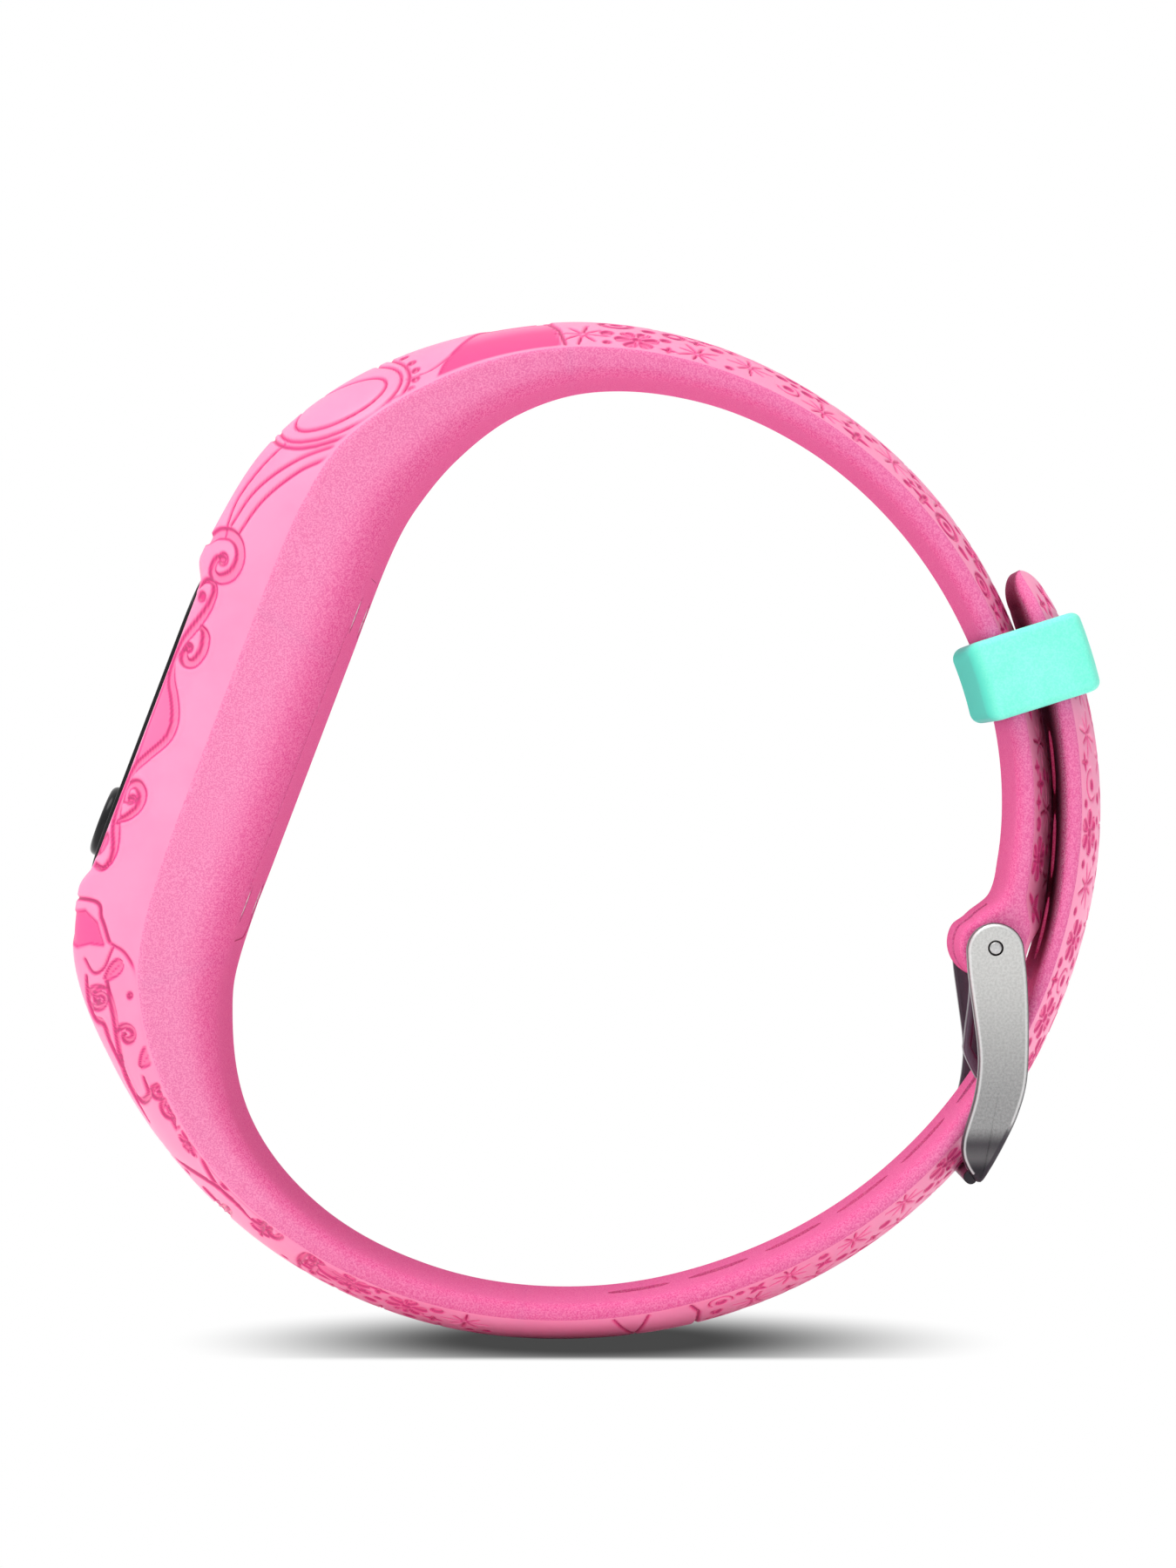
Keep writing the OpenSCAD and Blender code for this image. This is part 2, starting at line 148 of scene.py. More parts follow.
def rounded_box(right, top, left, bottom, radius, steps):
    """A box outline with round corners, anticlockwise from the right side."""
    corners = ((right - radius, top - radius), (left + radius, top - radius),
               (left + radius, bottom + radius), (right - radius, bottom + radius))
    turns = [math.radians(90 * k / steps) for k in range(steps + 1)]
    return [(x + radius * math.cos(a + q * math.pi / 2), y + radius * math.sin(a + q * math.pi / 2))
            for q, (x, y) in enumerate(corners) for a in turns]


def rounded_outline(length, width, radius, steps, x=0):
    """A rounded rectangle about (x, 0)."""
    return rounded_box(x + length / 2, width / 2, x - length / 2, -width / 2, radius, steps)


def circle_outline(radius, steps=48):
    turns = [2 * math.pi * k / steps for k in range(steps)]
    return [(radius * math.cos(a), radius * math.sin(a)) for a in turns]


def smooth_step(x):
    x = np.clip(x, 0, 1)
    return x * x * (3 - 2 * x)


# ---- places shared with the CAD
FACE_ANGLE, POD_SHIFT = 159.2, 2.0
FACE = math.radians(FACE_ANGLE)
POD_X = np.array([math.sin(FACE), 0, -math.cos(FACE)])
POD_N = np.array([math.cos(FACE), 0, math.sin(FACE)])


def pod(x, y, z):
    """A point of the tracker's own frame: x towards the top of the band, z out of the display."""
    return tuple((x - POD_SHIFT) * POD_X + z * POD_N + np.array([0, y, 0]))


def at_angle(angle):
    """Places a shape on the band at an angle: x along the band, z outwards."""
    a = math.radians(angle)
    out, along = np.array([math.cos(a), 0, math.sin(a)]), np.array([-math.sin(a), 0, math.cos(a)])
    return lambda x, y, z: tuple(x * along + z * out + np.array([0, y, 0]))


def about_pivot(x, y, z):
    """A point of a turned shape on the spring bar's axis: z across the band."""
    return PIVOT[0] + x, z, PIVOT[1] + y


STRAP = 7.5  # half width of the strap
PIVOT = (23.35, -6.65)
EYELET = 2.0
WINDOW_X, WINDOW_L, WINDOW_W = -1.25, 18.1, 14.3
BACK_H, CREASE_H, RIM_H = 16.9, 22, 25.8  # heights of the flat back, the crease and the display's rim
POCKET_L, POCKET_W, POCKET_R, POCKET_LOW, POCKET_HIGH = 22.46, 18.86, 4.53, 8, 23.65
BORE_R, TIP_HOLE_R, EYE_HOLE_R = 0.9, 0.45, 0.95  # on the spring bar's axis
WALL_DEPTH = 8  # how far towards the camera side-view points are measured
HOLE_L, HOLE_W, HOLE_PITCH, HOLE_RADIUS = 3.7, 2.4, 5, 28
HOLES = [327.5 + k * HOLE_PITCH / HOLE_RADIUS * 180 / math.pi for k in range(-5, 5)]

# angle, radius of the inner face, of the crease and of the outer face, and half width beyond the strap's
STATIONS = np.array([
    (-15, 22.4, 25.2, 26.2, 0), (-12, 23.1, 25.3, 26.4, 0), (-9, 24.1, 25.4, 26.6, 0),
    (-4, 24.4, 25.5, 26.6, 0), (5, 24.7, 25.7, 26.8, 0), (20, 25.1, 26.1, 27.3, 0), (30, 25.3, 26.4, 27.6, 0),
    (45, 25.7, 26.8, 28.1, 0), (60, 26.1, 27.2, 28.6, 0), (75, 26.3, 27.6, 29.2, 0), (90, 26, 27.8, 29.6, 0.3),
    (100, 25, 27.6, 29.6, 0.9), (110, 23.3, 27.1, 29.55, 1.8), (120, 21.4, 26.4, 29.4, 2.7),
    (130, 19.9, 25.4, 28.85, 3.2), (140, 19, 24.6, 27.75, 3.3), (150, 18.6, 24.3, 26.9, 3.3),
    (160, 18.6, 24.3, 26.5, 3.3), (172, 18.8, 24.5, 27.15, 3.3), (184, 19.8, 25.2, 29.05, 3.3),
    (194, 21, 26.4, 30.45, 3.1), (206, 23.6, 27.8, 30.55, 2.4), (220, 26.3, 28.8, 30.6, 1),
    (234, 27.4, 28.9, 30.5, 0.3), (250, 27.5, 28.6, 30.15, 0), (270, 27.1, 28, 29.5, 0),
    (290, 26.7, 27.6, 29.2, 0), (312, 26.7, 27.6, 29.1, 0), (330, 26.9, 27.7, 29.2, 0),
    (345, 27.2, 27.9, 29.4, 0), (360, 27.3, 28.3, 29.8, 0), (375, 27.7, 28.7, 30.1, 0),
    (384, 28, 29, 30.2, -0.4), (388.5, 28.3, 29.1, 30.1, -1.6), (391, 28.8, 29.2, 29.8, -3.5)], float)
STATIONS[:, 4] += STRAP
TIP_START, TIP_END = 387.5, 391.2


def curve(angle, column):
    """A smooth curve through one column of the stations."""
    a, v = STATIONS[:, 0], STATIONS[:, column]
    lo, hi = np.maximum(np.arange(len(a)) - 1, 0), np.minimum(np.arange(len(a)) + 1, len(a) - 1)
    slope = (v[hi] - v[lo]) / (a[hi] - a[lo])
    angle = np.clip(angle, a[0], a[-1])
    k = np.clip(np.searchsorted(a, angle, side="right") - 1, 0, len(a) - 2)
    w = a[k + 1] - a[k]
    u = (angle - a[k]) / w
    return ((2 * u**3 - 3 * u**2 + 1) * v[k] + (u**3 - 2 * u**2 + u) * w * slope[k]
            + (3 * u**2 - 2 * u**3) * v[k + 1] + (u**3 - u**2) * w * slope[k + 1])


def blend(a, b, w):
    return a * (1 - w) + b * w


def soft_min(a, b, k):
    """The lower of two values, rounded off over k where they meet."""
    h = np.maximum(k - np.abs(a - b), 0) / k
    return np.minimum(a, b) - h * h * k / 4


def flattened(r, flat, angle, ease):
    """A radius kept below a flat face at height `flat` over the tracker."""
    away = np.radians(angle - FACE_ANGLE)
    near = np.abs(away) < np.radians(60)
    return np.where(near, soft_min(r, flat / np.cos(np.where(near, away, 0)), ease), r)


def sections(angle):
    """The band's section at each angle: inner, crease and outer radius, half width, how far the outer face runs
    in from the crease, and the roundings of the inner edge and of the crease."""
    inner = flattened(curve(angle, 1), BACK_H, angle, 0.7)
    crease = flattened(curve(angle, 2), CREASE_H, angle, 1.6)
    outer = curve(angle, 3) + 0.15 * smooth_step((angle + 14.5) / 3) * (
        smooth_step((26 - angle) / 8) + smooth_step((12 - angle) / 6))
    half = curve(angle, 4)
    # the round eyelet for the spring bar
    reach, at = math.hypot(*PIVOT), math.degrees(math.atan2(PIVOT[1], PIVOT[0]))
    away = np.radians(angle - at)
    off = np.clip(np.abs(reach * np.sin(away)), 0, EYELET)
    chord = np.sqrt(np.maximum(EYELET**2 - off**2, 0))
    round_in, round_out = reach * np.cos(away) - chord, reach * np.cos(away) + chord
    w = smooth_step((angle + 14.6) / 2)
    inner = np.where(angle < -12.6, blend(round_in, inner, w), inner)
    outer = np.where(angle < at, round_out, outer)
    flat_end = smooth_step((-8 - angle) / 7)
    crease = np.where(angle < -8, blend(crease, outer - 0.35, flat_end), crease)
    rim = np.clip((EYELET - off) / 0.35, 0, 1)
    half = np.where(angle < at, half - 0.35 * (1 - np.sqrt(np.maximum(1 - (1 - rim)**2, 0))), half)
    # the rounded tip of the strap
    u = np.clip((angle - TIP_START) / (TIP_END - TIP_START), 0, 1)
    shrink = np.sqrt(np.maximum(1 - u * u, 0))
    tip = [curve(np.array([TIP_START]), column)[0] for column in (1, 2, 3)]
    middle = tip[0] + 0.55 * (tip[2] - tip[0])
    inner, crease, outer = (np.where(angle > TIP_START, middle + (at_start - middle) * shrink, radius)
                            for at_start, radius in zip(tip, (inner, crease, outer)))
    rise = outer - crease
    run = blend(np.minimum(6.7 - 0.8 * rise, half - 0.3), 0.4, flat_end)
    body = crease - inner
    fillet = np.minimum(0.7 + 0.25 * np.maximum(body - 1, 0), 0.72 * body)
    fillet = blend(fillet, np.minimum(0.35, 0.3 * body), flat_end)
    return inner, crease, outer, half, run, fillet, np.minimum(0.22, 0.2 * body)


N_IN, N_FILLET, N_WALL, N_CREASE, N_OUT = 9, 6, 8, 4, 112
N_FLANK, N_TOP = 70, 30
SIDE, MIDDLE = 85, 40  # the skin's points that can show from the side, and the one that measures its length
BELLY = 1.8  # how the outer face curves over from the crease


def skin(angle):
    """The outer skin of one side: radius, across, and distance from the crease, N_OUT + 1 points per angle."""
    _, crease, outer, half, run, _, rounding = (v[:, None] for v in sections(angle))
    rise = outer - crease
    start = np.minimum(rounding / np.hypot(run, BELLY * rise), 0.3)
    v = start + (1 - start) * (np.linspace(0, 1, N_FLANK)[None, :] ** 1.25)
    y = np.concatenate([half - run * v, (half - run) * np.linspace(1, 0, N_TOP)[None, 1:]], 1)
    r = np.concatenate([crease + rise * (1 - (1 - v) ** BELLY), np.repeat(outer, N_TOP - 1, 1)], 1)
    step = np.hypot(np.diff(y, axis=1), np.diff(r, axis=1))
    length = np.concatenate([np.zeros((len(angle), 1)), np.cumsum(step, 1)], 1)
    want = np.linspace(0, 1, N_OUT + 1)[None, :] * length[:, -1:]
    even = [np.array([np.interp(*row) for row in zip(want, length, values)]) for values in (r, y)]
    return *even, want, length[:, -1]


# ---- the relief, drawn on the outer skin
TURN = np.concatenate([
    np.degrees(math.atan2(PIVOT[1], PIVOT[0])) - np.degrees(np.arcsin(
        EYELET * np.sin(np.radians(np.linspace(88.5, 20, 16))) / math.hypot(*PIVOT))),
    np.arange(-17.2, 128, 0.22), np.arange(128, 188, 0.15), np.arange(188, TIP_START, 0.22),
    TIP_START + (TIP_END - TIP_START) * np.sin(np.radians(np.linspace(0, 88, 26)))])
R_SKIN, Y_SKIN, T_SKIN, T_ALL = skin(TURN)
REACH = R_SKIN[:, MIDDLE]
S_RING = np.concatenate([[0], np.cumsum(np.radians(np.diff(TURN)) * (REACH[1:] + REACH[:-1]) / 2)])
# the relief's height, and its painted shade: deeper pink in the hollows up to 1, dark lines along its edges and
# in its grooves above 1
HEIGHT, RELIEF_SHADE = np.zeros_like(T_SKIN), np.zeros_like(T_SKIN)


def row_at(angle):
    return int(np.argmin(np.abs(TURN - angle)))


def spot(x, z):
    """The place (s, t) on the skin, along it and in from the crease, that is seen at side-view point (x, z)."""
    k = 1.0
    for _ in range(4):
        px, pz = x / k, EYE_LEVEL + (z - EYE_LEVEL) / k
        a = math.degrees(math.atan2(pz, px))
        a += 360 if a < -19 else 0
        row = row_at(a)
        t = float(np.interp(math.hypot(px, pz), R_SKIN[row, :SIDE], T_SKIN[row, :SIDE]))
        y = float(np.interp(t, T_SKIN[row], Y_SKIN[row]))
        k = (EYE_BACK - WALL_DEPTH) / (EYE_BACK - y)
    return float(np.interp(a, TURN, S_RING)), t


def s_at(angle):
    return float(np.interp(angle, TURN, S_RING))


def nearby(points, reach):
    """The block of rows within reach of the points, and s and t on it."""
    lo, hi = np.min(points, 0) - reach, np.max(points, 0) + reach
    rows = np.nonzero((S_RING >= lo[0]) & (S_RING <= hi[0]))[0]
    block = slice(rows[0], rows[-1] + 1)
    return block, *np.broadcast_arrays(S_RING[block, None], T_SKIN[block])


def line_distance(s, t, points):
    """Distance to a polyline, and how far along it the nearest point is, from 0 to 1."""
    p = np.asarray(points, float)
    seg = np.hypot(*np.diff(p, axis=0).T)
    run = np.concatenate([[0], np.cumsum(seg)])
    best, where = np.full(s.shape, 1e9), np.zeros(s.shape)
    for k in range(len(p) - 1):
        d = p[k + 1] - p[k]
        u = np.clip(((s - p[k, 0]) * d[0] + (t - p[k, 1]) * d[1]) / max(seg[k]**2, 1e-12), 0, 1)
        dist = np.hypot(s - p[k, 0] - u * d[0], t - p[k, 1] - u * d[1])
        nearer = dist < best
        best = np.where(nearer, dist, best)
        where = np.where(nearer, (run[k] + u * seg[k]) / run[-1], where)
    return best, where


def smooth_line(points, per=10):
    """A Catmull-Rom curve through the points."""
    p = np.asarray(points, float)
    q = np.vstack([2 * p[0] - p[1], p, 2 * p[-1] - p[-2]])
    a, b, c, d = (q[k:len(q) - 3 + k, None] for k in range(4))
    u = np.linspace(0, 1, per, endpoint=False)[:, None]
    line = 0.5 * (2 * b + (c - a) * u + (2 * a - 5 * b + 4 * c - d) * u**2 + (3 * b - a - 3 * c + d) * u**3)
    return np.vstack([line.reshape(-1, 2), p[-1:]])


EDGE = 0.2  # the width of a sloping edge


def fine_line(distance, strength):
    """A narrow line of painted shade along the relief, just wide enough for the mesh to sample it smoothly."""
    return 1.1 * strength * np.exp(-(distance / 0.1) ** 2)


def press(block, inside, depth, relief_shade=0.45, line=1.3):
    """Sinks the area where the signed distance is below zero, with sloping edges, and paints shade into it: a
    deeper pink in the hollow and a dark line at its edge.
    """
    u = smooth_step(0.5 - inside / EDGE)
    HEIGHT[block] = np.minimum(HEIGHT[block], np.where(u > 0, -depth * u, HEIGHT[block]))
    RELIEF_SHADE[block] = np.maximum(RELIEF_SHADE[block], np.maximum(relief_shade * u, fine_line(inside, line)))


def ribbon(points, width, depth=0.18, ends=0.3):
    """A sunk ribbon with painted shade: a deeper pink inside it and a fine dark line along both edges."""
    block, s, t = nearby(points, 1.5)
    d, u = line_distance(s, t, points)
    w = width * (ends + (1 - ends) * smooth_step(np.minimum(u, 1 - u) * 5)) / 2
    body = smooth_step((w + 0.12 - d) / 0.24)
    edge = fine_line(d - w, 1.3)
    HEIGHT[block] = np.minimum(HEIGHT[block], -depth * body)
    HEIGHT[block] += 0.045 * np.exp(-((d - w - 0.26) / 0.14) ** 2) * (HEIGHT[block] > -0.02)
    RELIEF_SHADE[block] = np.maximum(RELIEF_SHADE[block] * (1 - 0.6 * body), np.maximum(0.3 * body, edge))


def groove(points, width, depth, relief_shade, taper=0):
    """A narrow line cut into the skin, with painted shade in it."""
    block, s, t = nearby(points, 1.2)
    d, u = line_distance(s, t, points)
    w = 0.3 * width * (1 - taper * np.abs(2 * u - 1))
    g = smooth_step((w + 0.1 - d) / 0.17)
    HEIGHT[block] = np.minimum(HEIGHT[block], HEIGHT[block] * 0.3 - depth * g * (g > 0))
    RELIEF_SHADE[block] = np.maximum(RELIEF_SHADE[block], 1.7 * relief_shade * g)


def panel(points, depth, relief_shade):
    """A sunk, smooth area inside a closed outline, painted darker as shade; the amount of painted shade is a
    number or a function of t.
    """
    block, s, t = nearby(points, 0.6)
    p = np.asarray(points, float)
    inside = np.zeros(s.shape, bool)
    for k in range(len(p)):
        a, b = p[k], p[(k + 1) % len(p)]
        crosses = (a[1] > t) != (b[1] > t)
        inside ^= crosses & (s < (b[0] - a[0]) * (t - a[1]) / (b[1] - a[1] + 1e-12) + a[0])
    d, _ = line_distance(s, t, np.vstack([p, p[:1]]))
    press(block, np.where(inside, -d, d), depth, relief_shade(t) if callable(relief_shade) else relief_shade, 1.05)


def turned(s, t, place, angle):
    a = math.radians(angle)
    u, w = s - place[0], t - place[1]
    return u * math.cos(a) + w * math.sin(a), -u * math.sin(a) + w * math.cos(a)


def dot(place, radius, depth=0.14, stretch=1, relief_shade=0.45):
    block, s, t = nearby([place], radius * stretch + 0.4)
    press(block, np.hypot((s - place[0]) / stretch, t - place[1]) - radius, depth, relief_shade)


def hoop(place, radius):
    block, s, t = nearby([place], radius + 0.6)
    press(block, np.abs(np.hypot(s - place[0], t - place[1]) - radius) - 0.12, 0.13)


def around(place, radius, degrees):
    """The point at a radius and an angle from a place; both can be arrays."""
    a = np.radians(degrees)
    return np.stack([place[0] + radius * np.cos(a), place[1] + radius * np.sin(a)], -1)


def arc(place, radius, start, end, width=0.24):
    groove(around(place, radius, np.linspace(start, end, 24)), width, 0.13, 0.9, 0.6)


def sparkle(place, radius, angle=0):
    """A star with four long points and hollow sides."""
    block, s, t = nearby([place], radius + 0.4)
    u, w = turned(s, t, place, angle)
    r, a = np.hypot(u, w), np.arctan2(w, u)
    a = np.abs((a * 4 / (2 * math.pi) + 0.5) % 1 - 0.5) * 2
    press(block, (r - radius * (1 - a * 0.999) ** 1.5 * 0.78 - radius * 0.22) * 0.6, 0.15)


def burst(place, radius, angle):
    """Eight straight rays, every other one shorter."""
    for k in range(8):
        a = angle + 45 * k
        ends = around(place, 0.12 * radius, a), around(place, radius * (0.8 if k % 2 else 1), a)
        groove(np.linspace(*ends, 3), 0.26, 0.15, 0.9, 0.55)


def leaf(place, length, width, angle):
    block, s, t = nearby([place], length + 0.3)
    u, w = turned(s, t, place, angle)
    edge = width / 2 * np.sqrt(np.maximum(1 - (2 * u / length) ** 2, 0)) * (1 - 0.5 * (2 * u / length))
    press(block, np.where(np.abs(u) < length / 2, np.abs(w) - edge, 1), 0.13)
    rib = around((0, 0), 0.38 * length, angle)
    groove([place - rib, place + 0.6 * rib], 0.2, 0.05, 0.7, 0.5)


def flower(place, radius, petals, angle=0):
    for k in range(petals):
        a = angle + 360 * k / petals
        leaf(around(place, 0.62 * radius, a), radius * 0.72, radius * 0.46, a + 180)
    dot(place, radius * 0.17)


def holes_dip():
    """Softens the lips of the adjustment holes."""
    for a in HOLES:
        s0 = s_at(a)
        block, s, _ = nearby([(s0, 0)], 3)
        beyond = np.maximum(np.abs(s - s0) - (HOLE_L - HOLE_W) / 2, 0)
        d = np.hypot(beyond, Y_SKIN[block]) - HOLE_W / 2
        lip = np.clip(1 - np.maximum(d, 0) / 0.28, 0, 1) ** 2
        HEIGHT[block] = HEIGHT[block] * (1 - np.minimum(1, 2 * lip)) - 0.13 * lip
        RELIEF_SHADE[block] *= 1 - np.minimum(1, 2 * lip)


def scatter(start, end, seed):
    """Sparkles, hoops, dots, petals and starbursts, packed over the strap without touching the holes."""
    dice = random.Random(seed)
    low, high = s_at(start), s_at(end)
    holes, taken = [s_at(a) for a in HOLES], []
    for size in (1.35, 1.1, 0.9, 0.72, 0.56, 0.42, 0.32, 0.23):
        for _ in range(int((high - low) * 38)):
            s = dice.uniform(low + size * 0.8, high - size * 0.8)
            k = int(np.argmin(np.abs(S_RING - s)))
            reach = T_ALL[k]
            t = dice.uniform(0.45 + size * 0.45, reach)
            middle = reach - t
            if 0.12 * size < middle < size:
                continue
            y = float(np.interp(t, T_SKIN[k], Y_SKIN[k]))
            if any(math.hypot(max(abs(s - h) - 0.65, 0), y) < 1.5 + size for h in holes):
                continue
            if any(math.hypot(s - a, t - b) < size + c + 0.12 for a, b, c in taken):
                continue
            if middle <= 0.12 * size:
                t = reach
            taken.append((s, t, size))
            kind, angle = dice.random(), dice.uniform(0, 180)
            place = (s, t)
            if size > 1.2:
                burst(place, size, angle) if kind < 0.7 else flower(place, size, 5 + int(kind * 2), angle)
            elif size > 0.8:
                if kind < 0.35:
                    hoop(place, size * 0.78)
                    dot(place, 0.3)
                elif kind < 0.7:
                    sparkle(place, size, dice.choice([0, 45]))
                else:
                    arc(place, size * 0.8, angle, angle + 230)
                    dot(place, 0.28)
            elif size > 0.5:
                if kind < 0.4:
                    sparkle(place, size * 1.05, dice.choice([0, 45]))
                elif kind < 0.72:
                    hoop(place, size * 0.72)
                else:
                    leaf(place, size * 1.9, size * 0.9, angle)
            else:
                dot(place, size * 0.8) if kind < 0.7 else sparkle(place, size * 1.15)


def side(points):
    """Side-view points, in mm, as places on the skin."""
    return np.array([spot(x, z) for x, z in points])


def on_pod(points):
    """Points in the tracker's own x and height, as places on the skin."""
    return side([pod(x, 0, h)[::2] for x, h in points])


def stroke(points, width=0.26, depth=0.12, relief_shade=0.8, taper=0):
    """A smooth groove through side-view points."""
    groove(smooth_line(side(points)), width, depth, relief_shade, taper)


def stem(points, width):
    """A smooth ribbon through side-view points."""
    ribbon(smooth_line(side(points)), width)


def curl(x, z, radius, start, sweep, inner=0.12, width=0.26, depth=0.18):
    """A ribbon that spirals inwards from its outer end, at angle `start`, by `sweep` degrees."""
    k = np.linspace(0, 1, 44)
    ribbon(side(around((x, z), radius * (1 - (1 - inner) * k ** 0.85), start + sweep * k)), width, depth)


def leaves(*leaves_at):
    for x, z, size, tilt in leaves_at:
        leaf(spot(x, z), size, size * 0.52, tilt)


def turn_about(centre, x, z, tilt):
    c, n = math.cos(math.radians(tilt)), math.sin(math.radians(tilt))
    return centre[0] + x * c - z * n, centre[1] + x * n + z * c


def swirl(points, width=0.5, bulb=0.27):
    """A ribbon that curls up into a round bulb."""
    points = on_pod(smooth_line(points))
    ribbon(points, width, ends=0.5)
    dot(points[-1], bulb, 0.1, relief_shade=0.63)


def draw_scrolls():
    """One flowing ribbon with curled branches beside the display, in the tracker's own x and height."""
    bowl = [(1.65, 25.5), (0.84, 25.02), (-0.05, 24.6), (-0.9, 24.42), (-1.75, 24.55), (-2.93, 25.2),
            (-4, 25.74)]
    panel(on_pod([(2.6, 25.92)] + bowl), 0.05, 0.5)
    swirl([(12.6, 26.7), (11.3, 26.5), (9.95, 26.42), (10.47, 25.93), (10.67, 25.25), (10.3, 24.6),
           (9.43, 24.24), (8.5, 24.4), (8.05, 25), (8.35, 25.5), (9.05, 25.5), (9.2, 25.15)], 0.6, 0.34)
    before = [(7.25, 25.98), (7.72, 25.6), (7.7, 25.15), (7.2, 24.92), (6.4, 24.93), (5.5, 25.12), (4.6, 25.42),
              (3.7, 25.74), (2.7, 25.85)]
    after = [(-5.18, 25.9), (-6.25, 25.8), (-7.26, 25.5), (-8.24, 25.14), (-9.1, 25), (-9.85, 25.3),
             (-9.75, 25.95)]
    ribbon(on_pod(smooth_line(before + bowl + after)), 0.5)
    dot(on_pod([(6.75, 25.52)])[0], 0.26, 0.12, relief_shade=0.99)
    swirl([(5.1, 24.95), (4.9, 24.65), (4.5, 24.45), (3.8, 24.36), (3.05, 24.6), (2.9, 25.05), (3.3, 25.32),
           (3.75, 25.18)])
    swirl([(-7, 25.5), (-6.5, 24.97), (-5.8, 24.62), (-5.05, 24.7), (-4.63, 25.2), (-5, 25.62),
           (-5.65, 25.55), (-5.58, 25.16)], 0.46)
    dot(on_pod([(-8.5, 25.9)])[0], 0.4, 0.1, 1.4, 0.72)


def draw_shoulder():
    """Nested ovals and flowing lines over the shoulder above the display, with a smooth sunk panel."""
    hub, tilt = (-14.2, 24.55), 27
    a = np.radians(np.linspace(0, 360, 80))
    for long, short, width in ((4.35, 1.75, 0.3), (3.85, 1.4, 0.26), (2.9, 0.85, 0.26)):
        oval = turn_about(hub, long * np.cos(a), short * np.sin(a), tilt)
        groove(side(zip(*oval)), width, 0.13, 0.75)
    for a in np.radians(np.arange(-58, 47, 13)):
        dot(spot(*turn_about(hub, 4.75 * math.cos(a), 2.05 * math.sin(a), tilt)), 0.2)
    for line in ([(-17.4, 22.3), (-19, 20.7), (-20.2, 19), (-20.9, 17)],
                 [(-14.6, 22.15), (-16.8, 21.3), (-19.1, 19.6), (-20.5, 17.6)],
                 [(-12.4, 22.85), (-14.7, 21.65), (-16.6, 20.7), (-18.7, 19), (-20.1, 17.1)]):
        stroke(line, 0.26, 0.13, 0.75, 0.2)
    for line in ([(-9.9, 25.2), (-11, 25), (-12.2, 24.2)],
                 [(-6.4, 28.4), (-7.6, 27.6), (-8.9, 26.6), (-10.4, 26)]):
        stroke(line, 0.24, 0.1, 0.6, 0.4)
    low = [(s, 0.2) for s in np.linspace(s_at(93.3), s_at(108.2), 24)]
    left = smooth_line([(s_at(108.2), 0.2), (s_at(106.6), 1.5), (s_at(103.9), 3.4), (s_at(100.8), 6.2)], 6)
    panel(low + list(map(tuple, left[1:])) + [(s_at(94.5), 6.2)], 0.1,
          lambda t: 0.3 + 0.68 * np.exp(-(np.maximum(t - 2.3, 0) / 1.4) ** 2))
    cross_line([(95.9, 1.2), (96.9, 3)], 0.2, -0.05, 0)
    cross_line([(92.6, 0.2), (93.3, 2.6), (95.2, 5.6), (96.4, 9.2)], 0.3, 0.14, 0.9)


def draw_crown():
    """The middle of the crown above and below the display, which shows from the front."""
    for angle in (113, 207.5):
        k = row_at(angle)
        middle = (S_RING[k], T_ALL[k])
        flower(middle, 2.3, 8, 22.5)
        arc(middle, 2.75, 0, 360, 0.26)
        for turn in range(15, 360, 30):
            dot(around(middle, 3.3, turn), 0.2)
        for way in (-1, 1):
            sparkle((middle[0] + way * 5, middle[1]), 1.1)
            ribbon(smooth_line([(middle[0] + way * s, middle[1] - t)
                                for s, t in ((3.9, 0.8), (4.9, 2.2), (3.4, 3.6), (1.2, 4.2))]), 0.4)


